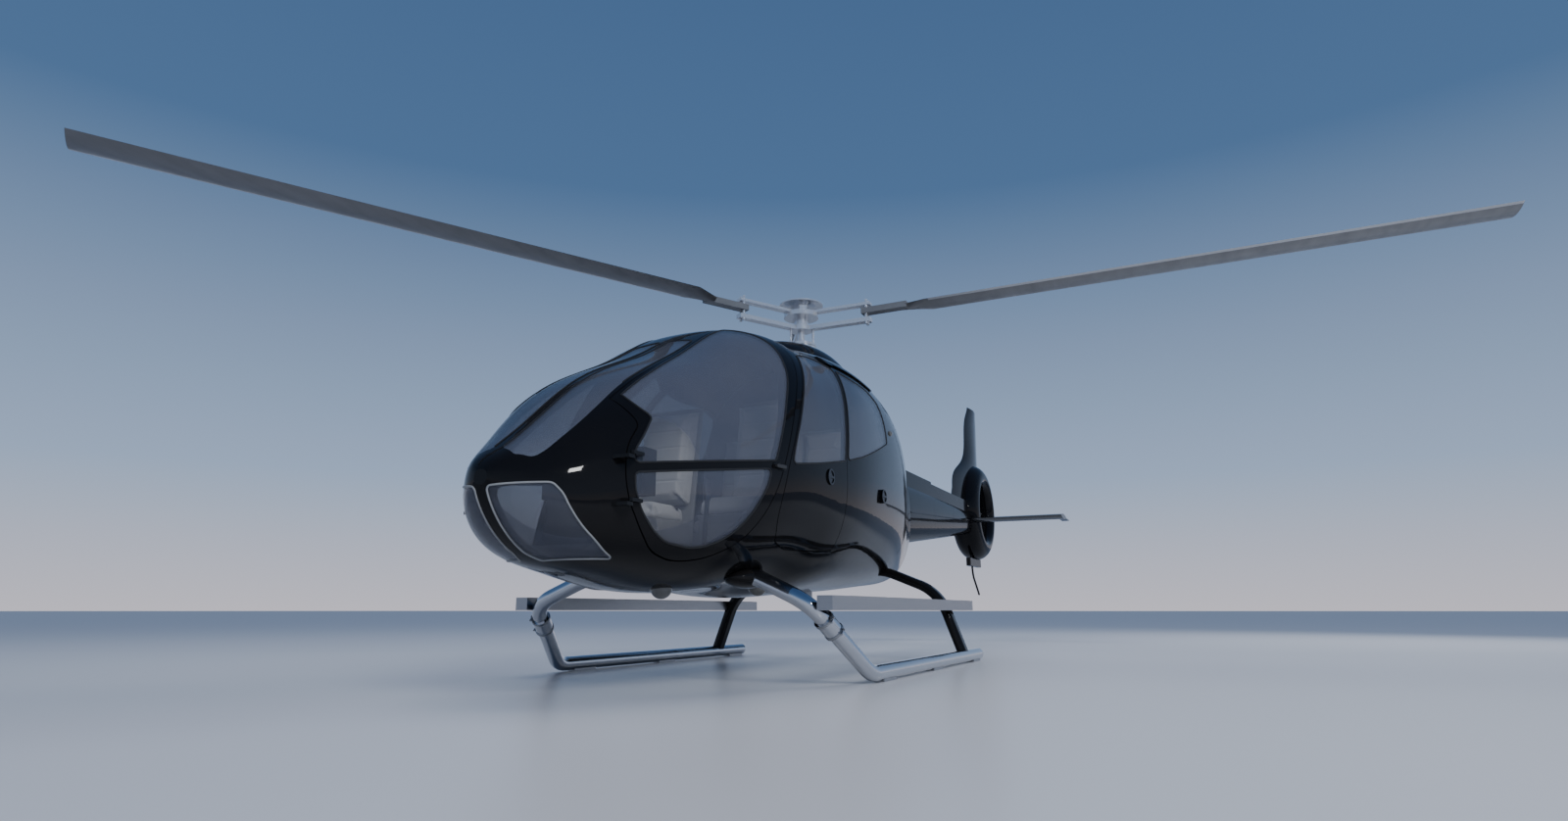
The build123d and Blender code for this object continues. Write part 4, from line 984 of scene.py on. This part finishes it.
# The cloth is painted darker in the dips between its threads, as painted shade, in random patches of soil.
weave_dip_shade = maths(cloth_weave, "SUBTRACT", 1.2, weave_height)
cloth_weave.links.new(maths(cloth_weave, "MULTIPLY", weave_soil, weave_dip_shade), weave_out.inputs["Mask"])
cloth_weave.links.new(weave_height, weave_out.inputs["Height"])
seat_cloth, cloth_shader = fresh_material("seat_cloth")
set_inputs(cloth_shader, (("Sheen Weight", 0.35),))
seat_weave = add_group(seat_cloth, cloth_weave, (("Threads", 420.0), ("Soil", 4.0)))
# The darker cloth colour is painted shade in the weave's dips, mixed with soil.
blend_colour(seat_cloth, seat_weave.outputs["Mask"], cloth_pale, cloth_soil_and_shade)
blend_gloss(seat_cloth, seat_weave.outputs["Mask"], clean=0.80, worn=0.95)
bump(seat_cloth, seat_weave.outputs["Height"], depth=0.0008)
pad_voxel = 0.010
pad_pressure = 4.0
pad_frames = 20
resting_share = -0.6
channel_depth = 0.006
channel_width = 0.007
channel_reach = 0.88
channel_fade = 0.03
front_half_width = 0.215
bench_half_width = 0.170
cushion_half_length = 0.180
back_half_length = 0.335
cushion_half_thickness = 0.044
back_half_thickness = 0.040
edge_rounding = 0.024
cushion_channels = (-0.07, 0.05)
back_channels = (-0.18, -0.06, 0.06, 0.18)
# Columns: name, half length, half width, half thickness, edge rounding, swelling cap, channel places.
pad_rows = (
    ("front_cushion", cushion_half_length, front_half_width, cushion_half_thickness, edge_rounding, 0.024,
     cushion_channels),
    ("front_back", back_half_length, front_half_width, back_half_thickness, edge_rounding, 0.022,
     back_channels),
    ("bench_cushion", cushion_half_length, bench_half_width, cushion_half_thickness, edge_rounding, 0.022,
     cushion_channels),
    ("bench_back", back_half_length, bench_half_width, back_half_thickness, edge_rounding, 0.020,
     back_channels),
)


def remade(piece):
    """The mesh that a piece shows with its modifiers, as its own data."""
    bpy.context.view_layer.update()
    shown = piece.evaluated_get(bpy.context.evaluated_depsgraph_get())
    return bpy.data.meshes.new_from_object(shown)


def set_mesh(piece, data):
    """Gives a piece new data and clears its modifiers."""
    piece.modifiers.clear()
    piece.data = data


pads = {}
for pad_name, half_length, half_width, half_thickness, pad_rounding, _, _ in pad_rows:
    block = bmesh.new()
    bmesh.ops.create_cube(block, size=2.0)
    bmesh.ops.scale(block, vec=(half_length, half_width, half_thickness), verts=block.verts)
    bmesh.ops.bevel(block, geom=block.edges[:], offset=pad_rounding, segments=3, profile=0.6, affect="EDGES")
    pad_mesh = bpy.data.meshes.new(pad_name)
    block.to_mesh(pad_mesh)
    block.free()
    pad = bpy.data.objects.new(pad_name, pad_mesh)
    bpy.context.collection.objects.link(pad)
    voxels = pad.modifiers.new("voxels", "REMESH")
    voxels.mode = "VOXEL"
    voxels.voxel_size = pad_voxel
    set_mesh(pad, remade(pad))
    pads[pad_name] = pad
starts = {name: [v.co.copy() for v in pad.data.vertices] for name, pad in pads.items()}
for pad_name, _, _, half_thickness, _, _, _ in pad_rows:
    pad = pads[pad_name]
    resting = pad.vertex_groups.new(name="resting")
    low_corners = [v.index for v in pad.data.vertices if v.co.z < resting_share * half_thickness]
    resting.add(low_corners, 1.0, "REPLACE")
    cloth = pad.modifiers.new("cloth", "CLOTH")
    cloth.settings.use_pressure = True
    cloth.settings.uniform_pressure_force = pad_pressure
    cloth.settings.effector_weights.gravity = 0
    cloth.settings.vertex_group_mass = "resting"
    cloth.point_cache.frame_start = 1
    cloth.point_cache.frame_end = pad_frames
for moment in range(1, pad_frames + 1):
    bpy.context.scene.frame_set(moment)
swollen = {name: remade(pad) for name, pad in pads.items()}
for name, pad in pads.items():
    set_mesh(pad, swollen[name])
bpy.context.scene.frame_set(1)
for pad_name, _, half_width, _, _, pad_cap, channel_places in pad_rows:
    pad = pads[pad_name]
    for corner, start in zip(pad.data.vertices, starts[pad_name]):
        shift = corner.co - start
        if shift.length > pad_cap:
            shift = shift * (pad_cap / shift.length)
        corner.co = start + shift
    subdivide = pad.modifiers.new("subdivide", "SUBSURF")
    subdivide.levels = 1
    subdivide.render_levels = 1
    set_mesh(pad, remade(pad))
    for corner in pad.data.vertices:
        if corner.co.z > 0:
            inside = min(1.0, max(0.0, (channel_reach * half_width - abs(corner.co.y)) / channel_fade))
            sunk = max(exp(-((corner.co.x - line) / channel_width) ** 2) for line in channel_places)
            corner.co.z -= channel_depth * inside * sunk
    pad.data.materials.clear()
    pad.data.materials.append(seat_cloth)
    smooth(pad)


def placed_pad(name, pattern, place, tilt):
    """A copy of a finished pad, set in its seat and tilted about the seat's width."""
    data = pads[pattern].data.copy()
    data.transform(Matrix.Translation(place) @ Matrix.Rotation(tilt, 4, "Y"))
    piece = bpy.data.objects.new(name, data)
    bpy.context.collection.objects.link(piece)
    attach(piece, "airframe")
    return piece


def profile_block(name, outline, low_y, high_y, material, rounding):
    """A side outline drawn across the seat into a block with rounded edges."""
    count = len(outline)
    corners = [(x, y, z) for y in (low_y, high_y) for x, z in outline]
    faces = [tuple(range(count)), tuple(count + index for index in reversed(range(count)))]
    faces += [face[::-1] for face in ring_faces(0, count)]
    block = mesh_piece(name, corners, faces, material)
    fix = bmesh.new()
    fix.from_mesh(block.data)
    bmesh.ops.recalc_face_normals(fix, faces=fix.faces)
    fix.to_mesh(block.data)
    fix.free()
    soften(block, rounding, 3)
    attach(block, "airframe")
    return block


back_lean_run, back_lean_rise = 0.110, 0.720
back_lean = -atan2(back_lean_run, back_lean_rise)
front_seat_rear = 1.480
bench_rear = 0.400
bench_seat_y = 0.362
front_tub_half_width = 0.232
bench_tub_half_width = 0.547
tub_rounding = 0.012
cushion_ahead = 0.285
cushion_z = 0.553
back_ahead = 0.010
back_z = 0.968
# Columns: ahead of the tub's rear edge, height.
tub_section = ((0.030, 0.2503), (0.420, 0.2503), (0.440, 0.450), (0.466, 0.506), (0.026, 0.512),
               (-0.088, 1.335), (-0.104, 1.338), (-0.004, 0.560), (0.008, 0.420))
# Columns: name, rear edge, middle, half width.
tub_rows = (("front_tub_left", front_seat_rear, front_seat_y, front_tub_half_width),
            ("front_tub_right", front_seat_rear, -front_seat_y, front_tub_half_width),
            ("bench_tub", bench_rear, 0.0, bench_tub_half_width))
for tub_name, rear_x, middle_y, half_width in tub_rows:
    outline = [(rear_x + ahead, height) for ahead, height in tub_section]
    profile_block(tub_name, outline, middle_y - half_width, middle_y + half_width, cover_shell,
                              tub_rounding)
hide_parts("front_seats")
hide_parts("rear_bench")
seat_pads = []
# Columns: name, rear edge, middle, pad pattern.
seat_places = (("front_left", front_seat_rear, front_seat_y, "front"),
               ("front_right", front_seat_rear, -front_seat_y, "front"),
               ("bench_left", bench_rear, bench_seat_y, "bench"),
               ("bench_middle", bench_rear, 0.0, "bench"),
               ("bench_right", bench_rear, -bench_seat_y, "bench"))
for seat_name, rear_x, middle_y, pattern in seat_places:
    cushion = placed_pad(seat_name + "_cushion", pattern + "_cushion",
                         (rear_x + cushion_ahead, middle_y, cushion_z), 0.0)
    backrest = placed_pad(seat_name + "_backrest", pattern + "_back", (rear_x + back_ahead, middle_y, back_z),
                          pi / 2 + back_lean)
    seat_pads.append((seat_name, rear_x, middle_y, cushion, backrest))
for pad in pads.values():
    bpy.data.objects.remove(pad)

# Belts: dark woven lap straps over each cushion, closed by a steel buckle.
# The front seats have two shoulder straps as well.
fresh_strap = (0.020, 0.020, 0.022, 1)
faded_strap = (0.035, 0.035, 0.038, 1)
strap_black = moulded("strap_webbing", fresh_strap, faded_strap, clean=0.65, worn=0.85, depth=0.0007,
    grain_size=700.0)
strap_half_width = 0.022
strap_thickness = 0.0025
strap_gap = 0.002
strap_steps = 26
lap_ahead = 0.150
lap_share = 0.93
shoulder_low = 0.680
shoulder_rise = 0.600
shoulder_y = 0.085
buckle_half_length = 0.034
buckle_half_width = 0.026
buckle_rise = 0.014
pad_half_widths = {"front": front_half_width, "bench": bench_half_width}


def ribbon(name, middles, sideways, outward, material):
    """A flat strap through a line of points, of even width and thickness."""
    corners, faces = [], []
    for middle in middles:
        for side in (-1, 1):
            for layer in (0, 1):
                corners.append(middle + side * strap_half_width * sideways
                               + layer * strap_thickness * outward)
    for index in range(len(middles) - 1):
        base = 4 * index
        for low, high in ((0, 1), (1, 3), (3, 2), (2, 0)):
            faces.append((base + low, base + high, base + 4 + high, base + 4 + low))
    faces.append((0, 2, 3, 1))
    last = 4 * (len(middles) - 1)
    faces.append((last, last + 1, last + 3, last + 2))
    piece = mesh_piece(name, corners, faces, material)
    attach(piece, "airframe")
    return piece


def pad_hit(piece, origin, way):
    """A function that finds where a line from beside a spot meets a pad."""
    tree = search_tree(piece.data)
    return lambda spot: tree.ray_cast(spot + origin, way)[0]


for seat_name, rear_x, middle_y, cushion, backrest in seat_pads:
    half_width = pad_half_widths[seat_name.split("_")[0]]
    on_cushion = pad_hit(cushion, across_z, -across_z)
    lap_line = []
    for step in range(strap_steps + 1):
        strap_y = middle_y + (2 * step / strap_steps - 1) * lap_share * half_width
        found = on_cushion(Vector((rear_x + lap_ahead, strap_y, 0)))
        if found:
            lap_line.append(found + Vector((0, 0, strap_gap)))
    if len(lap_line) > 2:
        ribbon(seat_name + "_lap_strap", lap_line, across_x, across_z, strap_black)
        capsule_block(seat_name + "_buckle", lap_line[len(lap_line) // 2], across_y, across_z,
                      buckle_half_length, buckle_half_width, 0.0, buckle_rise, satin_alloy, "airframe")
    if seat_name.startswith("front"):
        on_back = pad_hit(backrest, across_x, -across_x)
        for strap_side, shift in (("inner", -shoulder_y), ("outer", shoulder_y)):
            shoulder_line = []
            for step in range(strap_steps + 1):
                strap_z = shoulder_low + shoulder_rise * step / strap_steps
                found = on_back(Vector((0, middle_y + shift, strap_z)))
                if found:
                    shoulder_line.append(found + Vector((strap_gap, 0, 0)))
            if len(shoulder_line) > 2:
                ribbon(f"{seat_name}_{strap_side}_strap", shoulder_line, across_y, across_x, strap_black)
